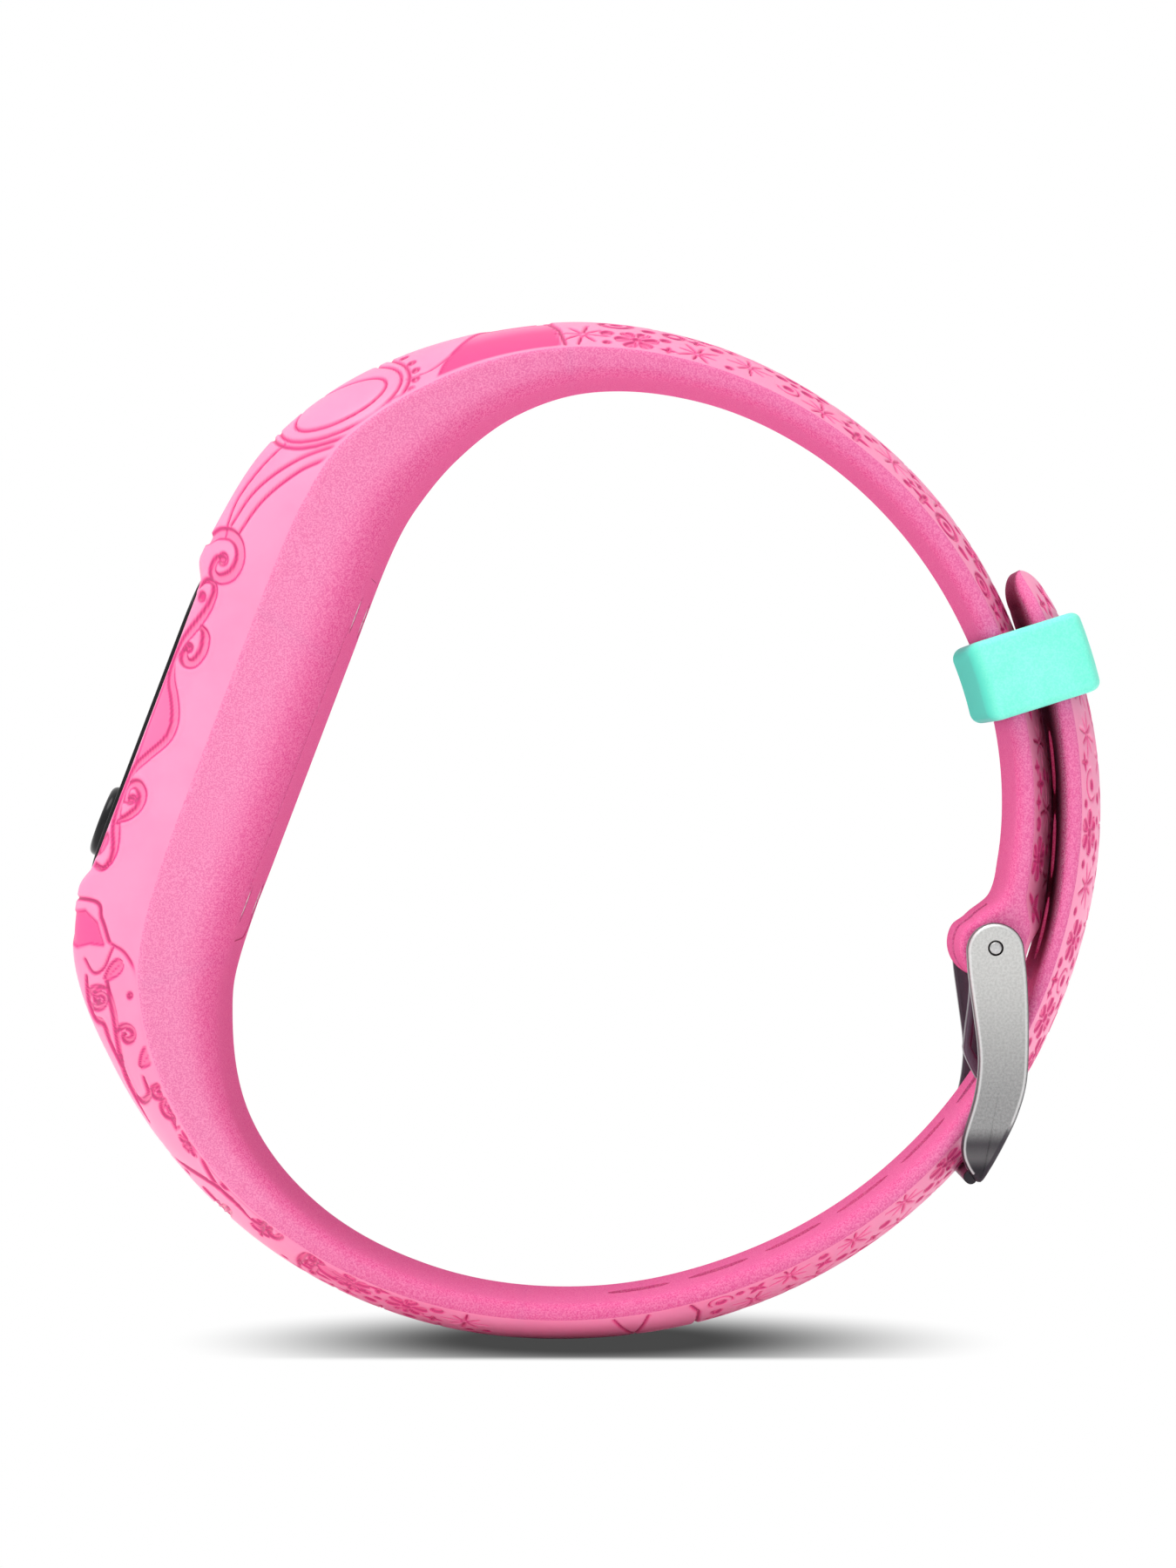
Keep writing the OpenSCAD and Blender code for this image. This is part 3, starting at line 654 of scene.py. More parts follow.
def draw_vine():
    """Leaves, curls and buds over the bend below the display."""
    stroke([(-29.35, -3.4), (-28.6, -3.9), (-27.95, -5), (-27.5, -6.3)], 0.3, 0.14, 0.9)
    panel(side([(-29.6, -4.4), (-28.9, -4.5), (-28.2, -5.2), (-27.8, -6.5), (-28.6, -6.4), (-29.3, -6.6)]),
          0.1, 0.8)
    stroke([(-27.4, -6.4), (-26.6, -7), (-25.95, -8.2), (-25.75, -9.9), (-25.5, -11.5), (-24.95, -13.1),
            (-24.75, -13.8)], 0.26, 0.12, 0.8, 0.2)
    curl(-28.1, -9.6, 0.75, 60, 640, 0.1, 0.3, 0.12)
    stem([(-27.6, -8.6), (-27.2, -10.6), (-26.9, -12.6), (-26.3, -14.6), (-25.2, -16.6)], 0.36)
    curl(-26.5, -11.7, 0.62, 160, -400, 0.2, 0.32)
    stem([(-28.8, -8.3), (-28.4, -10.5), (-27.8, -11), (-27.45, -12), (-26.7, -13.6)], 0.32)
    leaves((-27.8, -12.6, 1.9, 80), (-26, -16.2, 2, -50), (-25.4, -13, 1.8, 70), (-24.3, -18.1, 1.8, -30),
           (-27.3, -8, 1.6, 60))
    stroke([(-24.75, -13.5), (-24, -13.7), (-23.55, -14.6)])
    curl(-23.9, -15.9, 0.75, 60, 560, 0.15, 0.3)
    flower(spot(-22.9, -17.9), 0.95, 6, 20)
    stem([(-23.6, -18.8), (-22, -19.9), (-20.6, -20.9), (-19.4, -22.2)], 0.34)
    stem([(-22.2, -17.6), (-21, -19.2), (-19.7, -20.5), (-18.2, -21.6), (-17.2, -22.2)], 0.32)
    leaves((-21.6, -20.9, 1.5, 10), (-20.3, -20, 1.3, -30), (-18.8, -22.9, 1.4, 0))
    curl(-18, -22.9, 0.8, 200, -560, 0.15, 0.3)
    curl(-24.7, -15, 0.5, 30, 440)
    curl(-20.9, -21.7, 0.6, 120, 480)
    curl(-16, -24.7, 0.6, 200, -480)
    stroke([(-28.9, -7.3), (-28.4, -8.1), (-27.8, -7.8), (-27.3, -6.7)])
    stem([(-26.9, -12.9), (-26.4, -14.2), (-25.7, -15.4), (-25.2, -15.1), (-25.5, -14.1)], 0.32)
    for ray in ((-24.3, -15.6), (-23.8, -15.3), (-23.3, -15.8), (-23, -16.6)):
        groove(side([(-23.7, -17.1), ray]), 0.24, 0.12, 0.8, 0.4)
    stem([(-22.2, -18.4), (-21.8, -19.5), (-21.1, -20.5), (-20, -21.5)], 0.3)
    flower(spot(-18.7, -22.7), 0.85, 6)
    sparkle(spot(-12, -26.3), 0.6)
    leaf(spot(-14.2, -25.7), 3.2, 1.4, 10)
    for berry in ((-26.3, -9.4), (-26.9, -15), (-23, -19.5), (-21.6, -19.3), (-19.6, -23), (-17.4, -24.4),
                  (-16.3, -25.6), (-15.3, -26.4)):
        dot(spot(*berry), 0.17)
    stroke([(-16.9, -22.4), (-16.2, -23.5), (-14.8, -24.6), (-13.4, -25.4)], 0.28, 0.14, 0.8, 0.3)


def cross_line(points, width, depth, relief_shade):
    """A groove through points given by angle and distance from the crease."""
    groove([(s_at(angle), t) for angle, t in points], width, depth, relief_shade)


draw_scrolls()
draw_shoulder()
draw_crown()
draw_vine()
burst(spot(-0.3, 28.6), 1.6, 10)
scatter(-12, 88.6, 7)
scatter(236, 259, 21)
cross_line([(273, 0.3), (275, 4), (276.3, 8.2)], 0.26, 0.12, 0.8)
cross_line([(277.2, 0.3), (275.4, 4), (273.6, 8.2)], 0.26, 0.12, 0.8)
cross_line([(282.2, 0.2), (283, 1.6), (282.6, 3.6), (281.6, 8.2)], 0.32, 0.15, 0.9)
scatter(283.6, 389, 12)
holes_dip()


# ---- the band
def half_rings():
    """One half of each section, from the inner middle round to the outer middle: radius, across, tone and gloss
    of each point, and the number of the outer skin's first point."""
    inner, crease, _, half, _, fillet, rounding = (v[:, None] for v in sections(TURN))
    a = np.radians(np.linspace(0, 90, N_FILLET))[None, :-1]
    low, high = inner + fillet, crease - rounding
    # the crease is eased with a short curve from the wall onto the skin's first point
    u = np.linspace(0, 1, N_CREASE + 1)[None, 1:-1]
    ease = lambda p, q, e: (1 - u)**2 * p + 2 * u * (1 - u) * q + u * u * e
    r = np.concatenate([np.repeat(inner, N_IN - 1, 1), inner + fillet * (1 - np.cos(a)),
                        low + (high - low) * np.linspace(0, 1, N_WALL)[None, :],
                        ease(high, crease, R_SKIN[:, :1]), R_SKIN], 1)
    y = np.concatenate([np.linspace(0, 1, N_IN)[None, :-1] * (half - fillet), half - fillet * (1 - np.sin(a)),
                        np.repeat(half, N_WALL, 1), ease(half, half, Y_SKIN[:, :1]), Y_SKIN], 1)
    # how far up the wall each point stands, from the inner face to the crease; the pink material paints shade and
    # sets its shine by it
    wall_rise = (r - inner) / np.maximum(crease - inner, 0.2)
    first = r.shape[1] - R_SKIN.shape[1]
    gloss = np.zeros_like(r)
    gloss[:, first:] = 1
    return r, y, np.clip(wall_rise, 0, 1), gloss, first


R_HALF, Y_HALF, WALL_RISE, GLOSS, FIRST = half_rings()


def whole(half_values, sign=1):
    """A full ring of values from half a ring: out along +Y and back along -Y."""
    return np.concatenate([half_values, sign * half_values[:, -2:0:-1]], 1)


def band_points():
    """The band's points, with the relief sunk into the outer skin, and the relief's painted shade."""
    a = np.radians(TURN)[:, None]
    r, y = whole(R_HALF), whole(Y_HALF, -1)
    x, z = r * np.cos(a), r * np.sin(a)
    # the window's ledge: the skin stays below the rim beside the display
    lx = (x * POD_X[0] + z * POD_X[2]) + POD_SHIFT
    h = x * POD_N[0] + z * POD_N[2]
    beside = smooth_step((9.3 - np.abs(lx - WINDOW_X)) / 1.8 + 0.5) * (h > 15)
    over = np.where(beside > 0, h - soft_min(h, RIM_H, 0.35), 0) * beside
    x, z = x - over * POD_N[0], z - over * POD_N[2]
    p = np.stack([x, y, z], -1)
    n = np.cross(np.gradient(p, axis=0), np.roll(p, -1, 1) - np.roll(p, 1, 1))
    n /= np.maximum(np.linalg.norm(n, axis=2, keepdims=True), 1e-9)
    n *= np.where(n[..., 0] * np.cos(a) + n[..., 2] * np.sin(a) > 0, 1, -1)[..., None]
    fade = smooth_step(T_SKIN / 0.5)
    lift, relief_shade = (np.pad(values * fade, ((0, 0), (FIRST, 0))) for values in (HEIGHT, RELIEF_SHADE))
    return p + n * whole(lift)[..., None], whole(relief_shade)


BAND, RELIEF_SHADE_RING = band_points()
WALL_RISE_RING, GLOSS_RING = whole(WALL_RISE), whole(GLOSS)
SHADE_RING = (smooth_step((TURN[:, None] - 338) / 14) * smooth_step((0.4 - WALL_RISE_RING) / 0.35)
              * (1 - GLOSS_RING))  # painted shade on the inner face and lower wall from 338° to the tip: the dark between the two straps


def set_numbers(mesh, name, values):
    attribute = mesh.attributes.new(name, "FLOAT", "POINT")
    attribute.data.foreach_set("value", np.asarray(values, np.float32).ravel())


def band_piece(name, start, end):
    lo, hi = row_at(start), row_at(end)
    rows = slice(lo, hi + 1)
    faces = ring_faces(hi + 1 - lo, BAND.shape[1])
    piece = add_piece(name, BAND[rows].reshape(-1, 3), faces, "band", "silicone_band", "pink_silicone")
    for kind, values in zip(("wall_rise", "gloss", "relief_shade", "shade"), (WALL_RISE_RING, GLOSS_RING, RELIEF_SHADE_RING, SHADE_RING)):
        set_numbers(piece.data, kind, values[rows])
    return piece


SEAMS = (-21, 17.5, 92.1, 146, 199, 262.2, 322.4, 392)
band = [band_piece(name, a, b) for name, a, b in zip(
    ("band_buckle_end", "band_strap_short", "band_tracker_top", "band_tracker_bottom", "band_lower_bend",
     "band_strap_long", "band_strap_end"), SEAMS[:-1], SEAMS[1:])]

# pocket and window for the tracker
GAP, HAIR = 0.2, 0.001
pocket = prism(rounded_outline(POCKET_L, POCKET_W, POCKET_R, 10), POCKET_LOW, POCKET_HIGH, pod)
window = prism(rounded_outline(WINDOW_L + GAP, WINDOW_W + GAP, 3.1, 10, WINDOW_X), 20, 32, pod)
for one in band[2:4]:
    cut(one, *pocket)
    cut(one, *window)
# the bore for the spring bar, the notch for the tongue, and the strap's holes
cut(band[0], *prism(circle_outline(BORE_R, 40), -12, 12, about_pivot))
NOTCH_R, NOTCH_HALF = 2.4, 1.15
arch = around((0, 0), NOTCH_R, np.arange(0, 181, 9))
arch[[0, -1], 0] *= 1.25
cut(band[0], *prism([*map(tuple, arch), (-3, -5), (3, -5)], -NOTCH_HALF, NOTCH_HALF, about_pivot))
for angle in HOLES:
    owner = band[sum(angle > seam for seam in SEAMS[1:-1])]
    cut(owner, *prism(rounded_outline(HOLE_L, HOLE_W, HOLE_W / 2 - HAIR, 14), 24, 33, at_angle(angle)))
for piece in band:
    piece.data.shade_smooth()
    sharpen(piece, 52)


# ---- the display lens and the button
def loft(name, outlines, body, node, slot):
    """A piece from outlines of equal count, each a list of 3-D points."""
    points = np.concatenate([np.asarray(o, float) for o in outlines])
    piece = add_piece(name, points, ring_faces(len(outlines), len(outlines[0])), body, node, slot)
    sharpen(piece)
    return piece


def quarter(radius, steps):
    """A rounded edge, from its tangent on a face to its tangent on the side: how far in, and how far down."""
    turns = [math.radians(90 * k / steps) for k in range(steps + 1)]
    return [(radius * (1 - math.sin(a)), radius * (1 - math.cos(a))) for a in turns]


def plate(name, x, length, width, radius, low, high, edge_low, edge_high, body, node, steps):
    """A rounded plate of the tracker with rounded edges, from height low to high."""
    rings = [(inset, low + up) for inset, up in quarter(edge_low, steps)]
    rings += [(inset, high - down) for down, inset in quarter(edge_high, steps)]
    outlines = [[pod(*point, z) for point in rounded_outline(
        length - 2 * i, width - 2 * i, max(radius - i, 0.05), 14, x)] for i, z in rings]
    return loft(name, outlines, body, node, "black_plastic")


BUTTON_X, BUTTON_L, BUTTON_W = -7.4, 4.2, 8.4
lens = plate("display_lens_glass", WINDOW_X, WINDOW_L, WINDOW_W, 3, 25.2, 26.1, 0.05, 0.1,
             "tracker", "display_lens", 5)
cut(lens, *prism(rounded_outline(
    BUTTON_L + GAP, BUTTON_W + GAP, (BUTTON_L + GAP) / 2 - HAIR, 16, BUTTON_X), 20, 30, pod))
sharpen(lens)
plate("button_key", BUTTON_X, BUTTON_L, BUTTON_W, BUTTON_L / 2 - HAIR, 24.35, 26.75, 0.05, 0.38,
      "button", "button_cap", 8)

# ---- the keeper
KEEPER = (0.95, 1.7)
KEEPER_IN, KEEPER_OUT, KEEPER_SAG, KEEPER_HALF, KEEPER_ANGLE, KEEPER_L = 22.45, 29.7, 0.65, 8.7, 17.5, 4.7


def keeper_ring(low, high, half, corner, along):
    """A section of the keeper, a rounded box domed outside, moved along the strap so its ends stay parallel."""
    steps, points = 8, []
    outline = rounded_box(high, half, low, -half, corner, steps)
    for k, (r, y) in enumerate(outline):
        next_r, next_y = outline[(k + 1) % len(outline)]
        parts = (16, 46, 16, 46)[k // (steps + 1)] if k % (steps + 1) == steps else 1
        points += [(r + (next_r - r) * j / parts, y + (next_y - y) * j / parts) for j in range(parts)]
    top = low + 0.55 * (high - low)
    ring = []
    for r, y in points:
        r -= KEEPER_SAG * (y / half) ** 2 * min(max((r - top) / (high - top), 0), 1)
        a = math.radians(KEEPER_ANGLE) + math.asin(along / r)
        ring.append((KEEPER[0] + r * math.cos(a), y, KEEPER[1] + r * math.sin(a)))
    return ring


def eased(along, radius):
    """How far a rounded end stands back at a distance from the keeper's end."""
    short = max(radius - (KEEPER_L / 2 - abs(along)), 0)
    return radius - math.sqrt(radius**2 - short**2)


stops = [KEEPER_L / 2 - 0.78 * (1 - math.cos(math.radians(7.5 * k))) for k in range(13)]
stops += [*np.linspace(stops[-1], -stops[-1], 14)[1:-1], *(-x for x in stops[::-1])]
keeper = loft("keeper_band", [
    keeper_ring(KEEPER_IN + eased(x, 0.78), KEEPER_OUT - eased(x, 0.5), KEEPER_HALF - eased(x, 0.4), 0.42, x)
    for x in stops], "keeper", "keeper_loop", "mint_silicone")
hollow = [keeper_ring(KEEPER_IN + 0.9, KEEPER_OUT - 0.65, KEEPER_HALF - 1, 0.5, x)
          for x in np.linspace(-KEEPER_L / 2 - 0.8, KEEPER_L / 2 + 0.8, 12)]
cut(keeper, np.concatenate(hollow), ring_faces(12, len(hollow[0])), solver="EXACT")
sharpen(keeper, 48)


# ---- the buckle
LEG = [(21.7, -6.8), (21.8, -8.2), (22.1, -10.4), (22.35, -12.4), (22.35, -13.8), (22.1, -15.4), (21.5, -17.4),
       (21.4, -18.2), (21.5, -18.8), (21.9, -19.6), (22.5, -20.1), (23.2, -19.1), (23.9, -17.8), (24.6, -16.3),
       (25.1, -14.6), (25.25, -12.8), (25.25, -10.4), (25.15, -8.2), (25, -6.8)]
LEG_IN, LEG_OUT, BEVEL, INNER_EDGE = 7.8, 9, 0.28, 0.16


def spaced(line, count):
    """Evenly spaced points along a line."""
    run = np.concatenate([[0], np.cumsum(np.hypot(*np.diff(line, axis=0).T))])
    want = np.linspace(0, run[-1], count)
    return np.stack([np.interp(want, run, line[:, 0]), np.interp(want, run, line[:, 1])], 1)


def leg_line():
    """The leg's outline as one smooth closed curve, round over the pivot."""
    left, foot, right = smooth_line(LEG[:8], 6), smooth_line(LEG[7:12], 5), smooth_line(LEG[11:], 6)
    cap = around((PIVOT[0], PIVOT[1] - 0.2), 1.65, np.linspace(2, 178, 30))
    return spaced(np.vstack([left[:-1], foot[:-1], right, cap, left[:1]]), 181)[:-1]


def inward(line, distance):
    """The closed line moved inwards, which is to its left as it runs round."""
    d = np.roll(line, -1, 0) - np.roll(line, 1, 0)
    for _ in range(2):
        d = (np.roll(d, 1, 0) + 2 * d + np.roll(d, -1, 0)) / 4
    return line + distance * np.stack([-d[:, 1], d[:, 0]], 1) / np.linalg.norm(d, axis=1)[:, None]


def tuck(z):
    """How far the leg turns in towards the crossbar at its foot."""
    u = np.clip((-17.2 - z) / 3, 0, 1)
    return 1 - np.sqrt(np.maximum(1 - (0.86 * u) ** 2, 0))


def leg(name, side):
    line = leg_line()
    rings = [(i, LEG_IN + up) for i, up in quarter(INNER_EDGE, 6)] + [(0, LEG_OUT - BEVEL)]
    rings += [(i, LEG_OUT - up) for up, i in quarter(BEVEL, 9)[1:]]
    outlines = [[(x, side * (y - tuck(z) * (y > LEG_IN + 0.3)), z) for x, z in inward(line, i)]
                for i, y in rings]
    # the broad outer face gets inner rings so it can turn in smoothly at the foot
    outer = inward(line, BEVEL)
    centre = np.array([np.interp(outer[:, 1], [-20, -15, -6.8], [22.6, 23.5, 23.35]), outer[:, 1]]).T
    for f in (0.12, 0.3, 0.5, 0.7, 0.88):
        o = outer + (centre - outer) * f
        o[:, 1] = np.clip(o[:, 1], -20.0 + 0.3 * f, -5.3)
        outlines.append([(x, side * (LEG_OUT - tuck(z)), z) for x, z in o])
    piece = loft(name, outlines, "buckle", "buckle_frame", "buckle_steel")
    # painted light and shade: a fine dark line round the edge, a painted highlight on the bevel inside it, and a
    # painted dark foot
    rim = np.repeat([-0.8] * 8 + [-1, -1, -1, -0.5, 0.3, 0.9, 0.9, 0.4] + [0] * 6, len(line))
    bevel = np.repeat([1] * 16 + [0.6] + [0] * 5, len(line))
    spine = np.interp(line[:, 1], [-20.1, -18, -16, -6], [21.9, 22.4, 23.6, 23.4])
    foot = np.tile(smooth_step((-16.6 - line[:, 1]) / 0.8) * (line[:, 0] > spine), len(outlines))
    set_numbers(piece.data, "rim", rim * (1 - foot * bevel) - foot * bevel)
    cut(piece, *prism(circle_outline(TIP_HOLE_R), -12, 12, about_pivot))
    sharpen(piece)


def bar_place(x, y, z):
    a = math.radians(41.5)
    return 22.12 + x * math.cos(a) + y * math.sin(a), z, -19.61 - x * math.sin(a) + y * math.cos(a)


leg("buckle_leg_near", -1)
leg("buckle_leg_far", 1)
bar_stops = [(8.3, 0.1), (8.25, 0.04), (8.2, 0)]
bar_stops = [(-z, i) for z, i in bar_stops] + [(z, 0) for z in np.linspace(-8, 8, 42)] + bar_stops[::-1]
bar = [[bar_place(*point, z) for point in rounded_outline(0.8 - 2 * i, 1.3 - 2 * i, 0.35 - 0.5 * i, 8)]
       for z, i in bar_stops]
crossbar = loft("buckle_crossbar", bar, "buckle", "buckle_frame", "buckle_steel")
cut(crossbar, *prism([(0.12, -2), (2.2, -2), (2.2, 2), (0.12, 2)], -1.1, 1.1, bar_place))
sharpen(crossbar)

TONGUE_BACK = [(22.3, -7.4), (22.3, -9.5), (22, -12), (22.05, -13.2), (23.5, -16), (23.75, -17.2),
               (23.45, -18.4), (22.32, -19.8)]
TONGUE_FRONT = [(23.5, -7.9), (22.9, -9.5), (22.45, -12.2), (22.55, -12.9), (24.3, -15.6), (24.5, -17.2),
                (24.05, -18.75), (22.8, -20.3)]
TONGUE_STEPS, TONGUE_HALF = 54, 0.9
HUB = [(1.2, 0.9), (1.38, 0.87), (1.47, 0.78), (1.5, 0.65)]


def turned_rings(profile, steps=64):
    """Circles round the spring bar's axis, from pairs of radius and place across the band."""
    return [[about_pivot(x, z, y) for x, z in circle_outline(r, steps)] for r, y in profile]


def tongue_piece():
    """The prong, bent over the strap, with its eye round the spring bar."""
    outlines = []
    lines = [spaced(smooth_line(line, 6), TONGUE_STEPS) for line in (TONGUE_BACK, TONGUE_FRONT)]
    for k, (back, front) in enumerate(zip(*lines)):
        half = TONGUE_HALF * (1 - 0.25 * smooth_step((k / (TONGUE_STEPS - 1) - 0.8) * 5))
        thick = float(np.hypot(*(front - back)))
        ring = []
        for u, y in rounded_outline(thick, 2 * half, min(0.22, 0.3 * thick), 6):
            x, z = back + (front - back) * (0.5 + u / thick)
            ring.append((x, y, z))
        outlines.append(ring)
    piece = loft("buckle_prong", outlines, "tongue", "buckle_tongue", "buckle_steel")
    hub = turned_rings([(r, -y) for r, y in HUB] + HUB[::-1])
    cut(piece, np.concatenate(hub), ring_faces(len(hub), 64), "UNION", "EXACT")
    cut(piece, *prism(circle_outline(EYE_HOLE_R), -12, 12, about_pivot), solver="EXACT")
    sharpen(piece)


tongue_piece()
PIN = [(0.42, 4.7), (0.5, 4.75), (0.58, 4.82), (0.6, 7.43), (0.52, 7.5), (0.38, 7.52), (0.38, 8.85),
       (0.35, 8.95), (0.29, 8.99), (0.2, 9)]
for end, way in (("near", -1), ("far", 1)):
    loft("spring_pin_" + end, turned_rings([(r, way * y) for r, y in PIN], 48),
         "bar_tip_" + end, "spring_bar_tip_" + end, "pin_steel")


# ---- materials
def srgb(*levels):
    """A linear colour from 8-bit red, green and blue."""
    levels = [level / 255 for level in levels]
    return (*(c / 12.92 if c <= 0.04045 else ((c + 0.055) / 1.055) ** 2.4 for c in levels), 1)


class Tree:
    """A node tree with short ways to add to it. Values passed in are sockets or constants."""

    def __init__(self, tree):
        self.nodes, self.links = tree.nodes, tree.links
        self.shader = self.nodes.get("Principled BSDF")

    def join(self, socket, value):
        if isinstance(value, bpy.types.NodeSocket):
            self.links.new(value, socket)
        else:
            socket.default_value = value

    def give(self, **values):
        """Sets inputs of the shader, named with an underscore for each space."""
        for name, value in values.items():
            self.join(self.shader.inputs[name.replace("_", " ")], value)

    def add(self, kind, *inputs, **settings):
        """A new node with its settings and its first inputs; None leaves an input as it is."""
        node = self.nodes.new("ShaderNode" + kind)
        for name, value in settings.items():
            setattr(node, name, value)
        for socket, value in zip(node.inputs, inputs):
            if value is not None:
                self.join(socket, value)
        return node

    def place(self):
        return self.add("TexCoord").outputs["Object"]

    def axes(self):
        return self.add("SeparateXYZ", self.place()).outputs

    def number(self, name):
        """A value stored on the mesh."""
        return self.add("Attribute", attribute_name=name).outputs["Fac"]

    def noise(self, scale, detail=2, rough=0.6):
        return self.add("TexNoise", self.place(), None, scale, detail, rough).outputs["Fac"]

    def maths(self, operation, a, b=0):
        return self.add("Math", a, b, operation=operation).outputs[0]

    def ramp(self, value, low, high, out_low=0, out_high=1):
        """A soft change from out_low to out_high as the value goes from low to high."""
        return self.add("MapRange", value, low, high, out_low, out_high,
                        interpolation_type="SMOOTHSTEP").outputs[0]

    def mix(self, factor, a, b):
        """A mix of two colours: sockets, linear colours of four numbers, or 8-bit colours of three."""
        a, b = (srgb(*c) if isinstance(c, tuple) and len(c) == 3 else c for c in (a, b))
        return self.add("Mix", factor, None, None, None, None, None, a, b, data_type="RGBA").outputs[2]

    def grade(self, value, low, high, a, b, *out):
        """Colour a below low and b above high, with a soft change between them."""
        return self.mix(self.ramp(value, low, high, *out), a, b)

    def bump(self, height, distance, strength):
        node = self.add("Bump", strength, distance)
        self.join(node.inputs["Height"], height)
        self.give(Normal=node.outputs[0])


def material(name):
    made = bpy.data.materials.new(name)
    made.use_nodes = True
    return made, Tree(made.node_tree)


def pink(name):
    """Silicone: grained on the side wall, smooth on the outer skin, with painted shade that makes it deeper in
    the relief.
    """
    made, m = material(name)
    gloss, relief_shade, wall_rise = m.number("gloss"), m.number("relief_shade"), m.number("wall_rise")
    fine, broad = m.noise(11000), m.noise(260, 3)
    axes = m.axes()
    # painted light and shade: the wall is lighter to the left, darker to the right and darker towards the bottom
    face = m.grade(axes["X"], -0.022, 0.012, (234, 131, 175), (224, 105, 158))
    face = m.grade(axes["Z"], -0.03, -0.019, face, (219, 84, 142), 0.9, 0)
    # painted shade: darker from the crease down the wall, darkest on the rounded inner edge and the inner face
    wall = m.grade(wall_rise, 0.12, 0.6, (227, 93, 151), face)
    # painted shade between the two straps and on the inner side of the tip
    wall = m.mix(m.number("shade"), wall, (104, 32, 56))
    wall = m.grade(fine, 0.36, 0.64, m.mix(0.24, wall, (196, 62, 128)), m.mix(0.22, wall, (255, 190, 222)))
    # painted sheen: the outer skin's pink is set paler than the wall's, for the reflection on its gloss
    outer = m.grade(broad, 0.3, 0.7, (247, 140, 181), (248, 147, 186))
    # painted shade in the relief: a deeper pink in its hollows and darker lines along its edges and grooves
    outer = m.mix(relief_shade, outer, (234, 62, 138))
    outer = m.grade(relief_shade, 0.8, 1.4, outer, (196, 62, 119))
    rough = m.maths("ADD", m.ramp(gloss, 0, 1, 0.62, 0.34), m.maths("MULTIPLY", broad, 0.06))
    shine = m.maths("MULTIPLY", m.ramp(wall_rise, 0.1, 0.6), m.ramp(gloss, 0, 1, 0.16, 0.5))
    m.give(Base_Color=m.mix(gloss, wall, outer), Roughness=rough, Specular_IOR_Level=shine, IOR=1.41,
           Subsurface_Weight=0.12, Subsurface_Radius=(1, 0.35, 0.5), Subsurface_Scale=0.0012)
    m.bump(fine, 0.00003, m.ramp(gloss, 0, 1, 0.7, 0.08))
    return made


def mint(name):
    """The keeper's silicone, with painted shade making it deeper on the inner side, next to the wrist."""
    made, m = material(name)
    fine, broad = m.noise(9000), m.noise(300, 3)
    base = m.grade(broad, 0.3, 0.7, (118, 240, 215), (132, 248, 224))
    base = m.grade(fine, 0.36, 0.64, m.mix(0.1, base, (60, 200, 175)), m.mix(0.1, base, (215, 255, 246)))
    flat = m.add("VectorMath", m.place(), (1, 0, 1), operation="MULTIPLY").outputs[0]
    middle = (KEEPER[0] * MM, 0, KEEPER[1] * MM)
    reach = m.add("VectorMath", flat, middle, operation="DISTANCE").outputs["Value"]
    # painted shade: darker towards the inner face, with less shine there
    away = m.ramp(reach, (KEEPER_IN + 0.1) * MM, (KEEPER_IN + 0.95) * MM)
    m.give(Base_Color=m.mix(away, (96, 216, 194), base), Specular_IOR_Level=m.maths("MULTIPLY", away, 0.22),
           Roughness=m.ramp(broad, 0, 1, 0.5, 0.62),
           Subsurface_Weight=0.12, Subsurface_Radius=(0.5, 1, 0.9), Subsurface_Scale=0.001)
    m.bump(fine, 0.00003, 0.5)
    return made


def metal(name, dark, light, rough, grain_scale):
    made, m = material(name)
    fine, broad = m.noise(grain_scale, 4, 0.65), m.noise(420, 3)
    m.give(Base_Color=m.grade(fine, 0.3, 0.7, dark, light), Metallic=1,
           Roughness=m.ramp(broad, 0.2, 0.8, rough - 0.05, rough + 0.06))
    m.bump(fine, 0.00001, 0.6)
    return made


def buckle_metal(name):
    """Bead-blasted steel with painted light and shade: a painted reflection that is pale on the legs' outer faces
    and dark at the foot, and painted shade on the inner faces.
    """
    made, m = material(name)
    fine, broad = m.noise(7000, 4, 0.65), m.noise(420, 3)
    axes = m.axes()
    height, across, rim = axes["Z"], m.maths("ABSOLUTE", axes["Y"]), m.number("rim")
    low = m.grade(fine, 0.3, 0.7, (140, 140, 140), (160, 160, 160))
    high = m.grade(fine, 0.3, 0.7, (190, 190, 188), (210, 210, 208))
    # painted reflection at the foot: dark, with one lighter band across it
    foot = m.grade(height, -0.0194, -0.0186, (52, 50, 54), (98, 96, 98))
    foot = m.grade(height, -0.0188, -0.0176, foot, (70, 67, 71))
    # painted reflection: pale up the legs, greyer towards the foot
    face = m.grade(height, -0.0168, -0.0062, low, high)
    face = m.grade(height, -0.0180, -0.0168, foot, face)
    # painted shade with a painted pink reflection on the legs' inner faces
    face = m.grade(across, 0.00788, 0.00802, (98, 84, 97), face)
    # a painted highlight on the bevel, and painted dark lines of shade round the edge and over the foot
    face = m.grade(rim, 0, 1, face, (232, 232, 232), 0, 0.6)
    face = m.grade(rim, -1, -0.2, face, (62, 58, 64), 0.75, 0)
    m.give(Base_Color=face, Metallic=1, Roughness=m.ramp(broad, 0.2, 0.8, 0.36, 0.46))
    m.bump(fine, 0.00003, 0.6)
    return made


def solid(name, dark, light, rough, scale=1800, grain=0.00002, coat=0, shine=0.5):
    made, m = material(name)
    fine, broad = m.noise(scale, 3), m.noise(350, 3)
    m.give(Base_Color=m.grade(fine, 0.3, 0.7, dark, light), Coat_Weight=coat, Specular_IOR_Level=shine,
           Roughness=m.ramp(broad, 0.2, 0.8, max(rough - 0.04, 0.02), rough + 0.05))
    m.bump(fine, grain, 0.4)
    return made


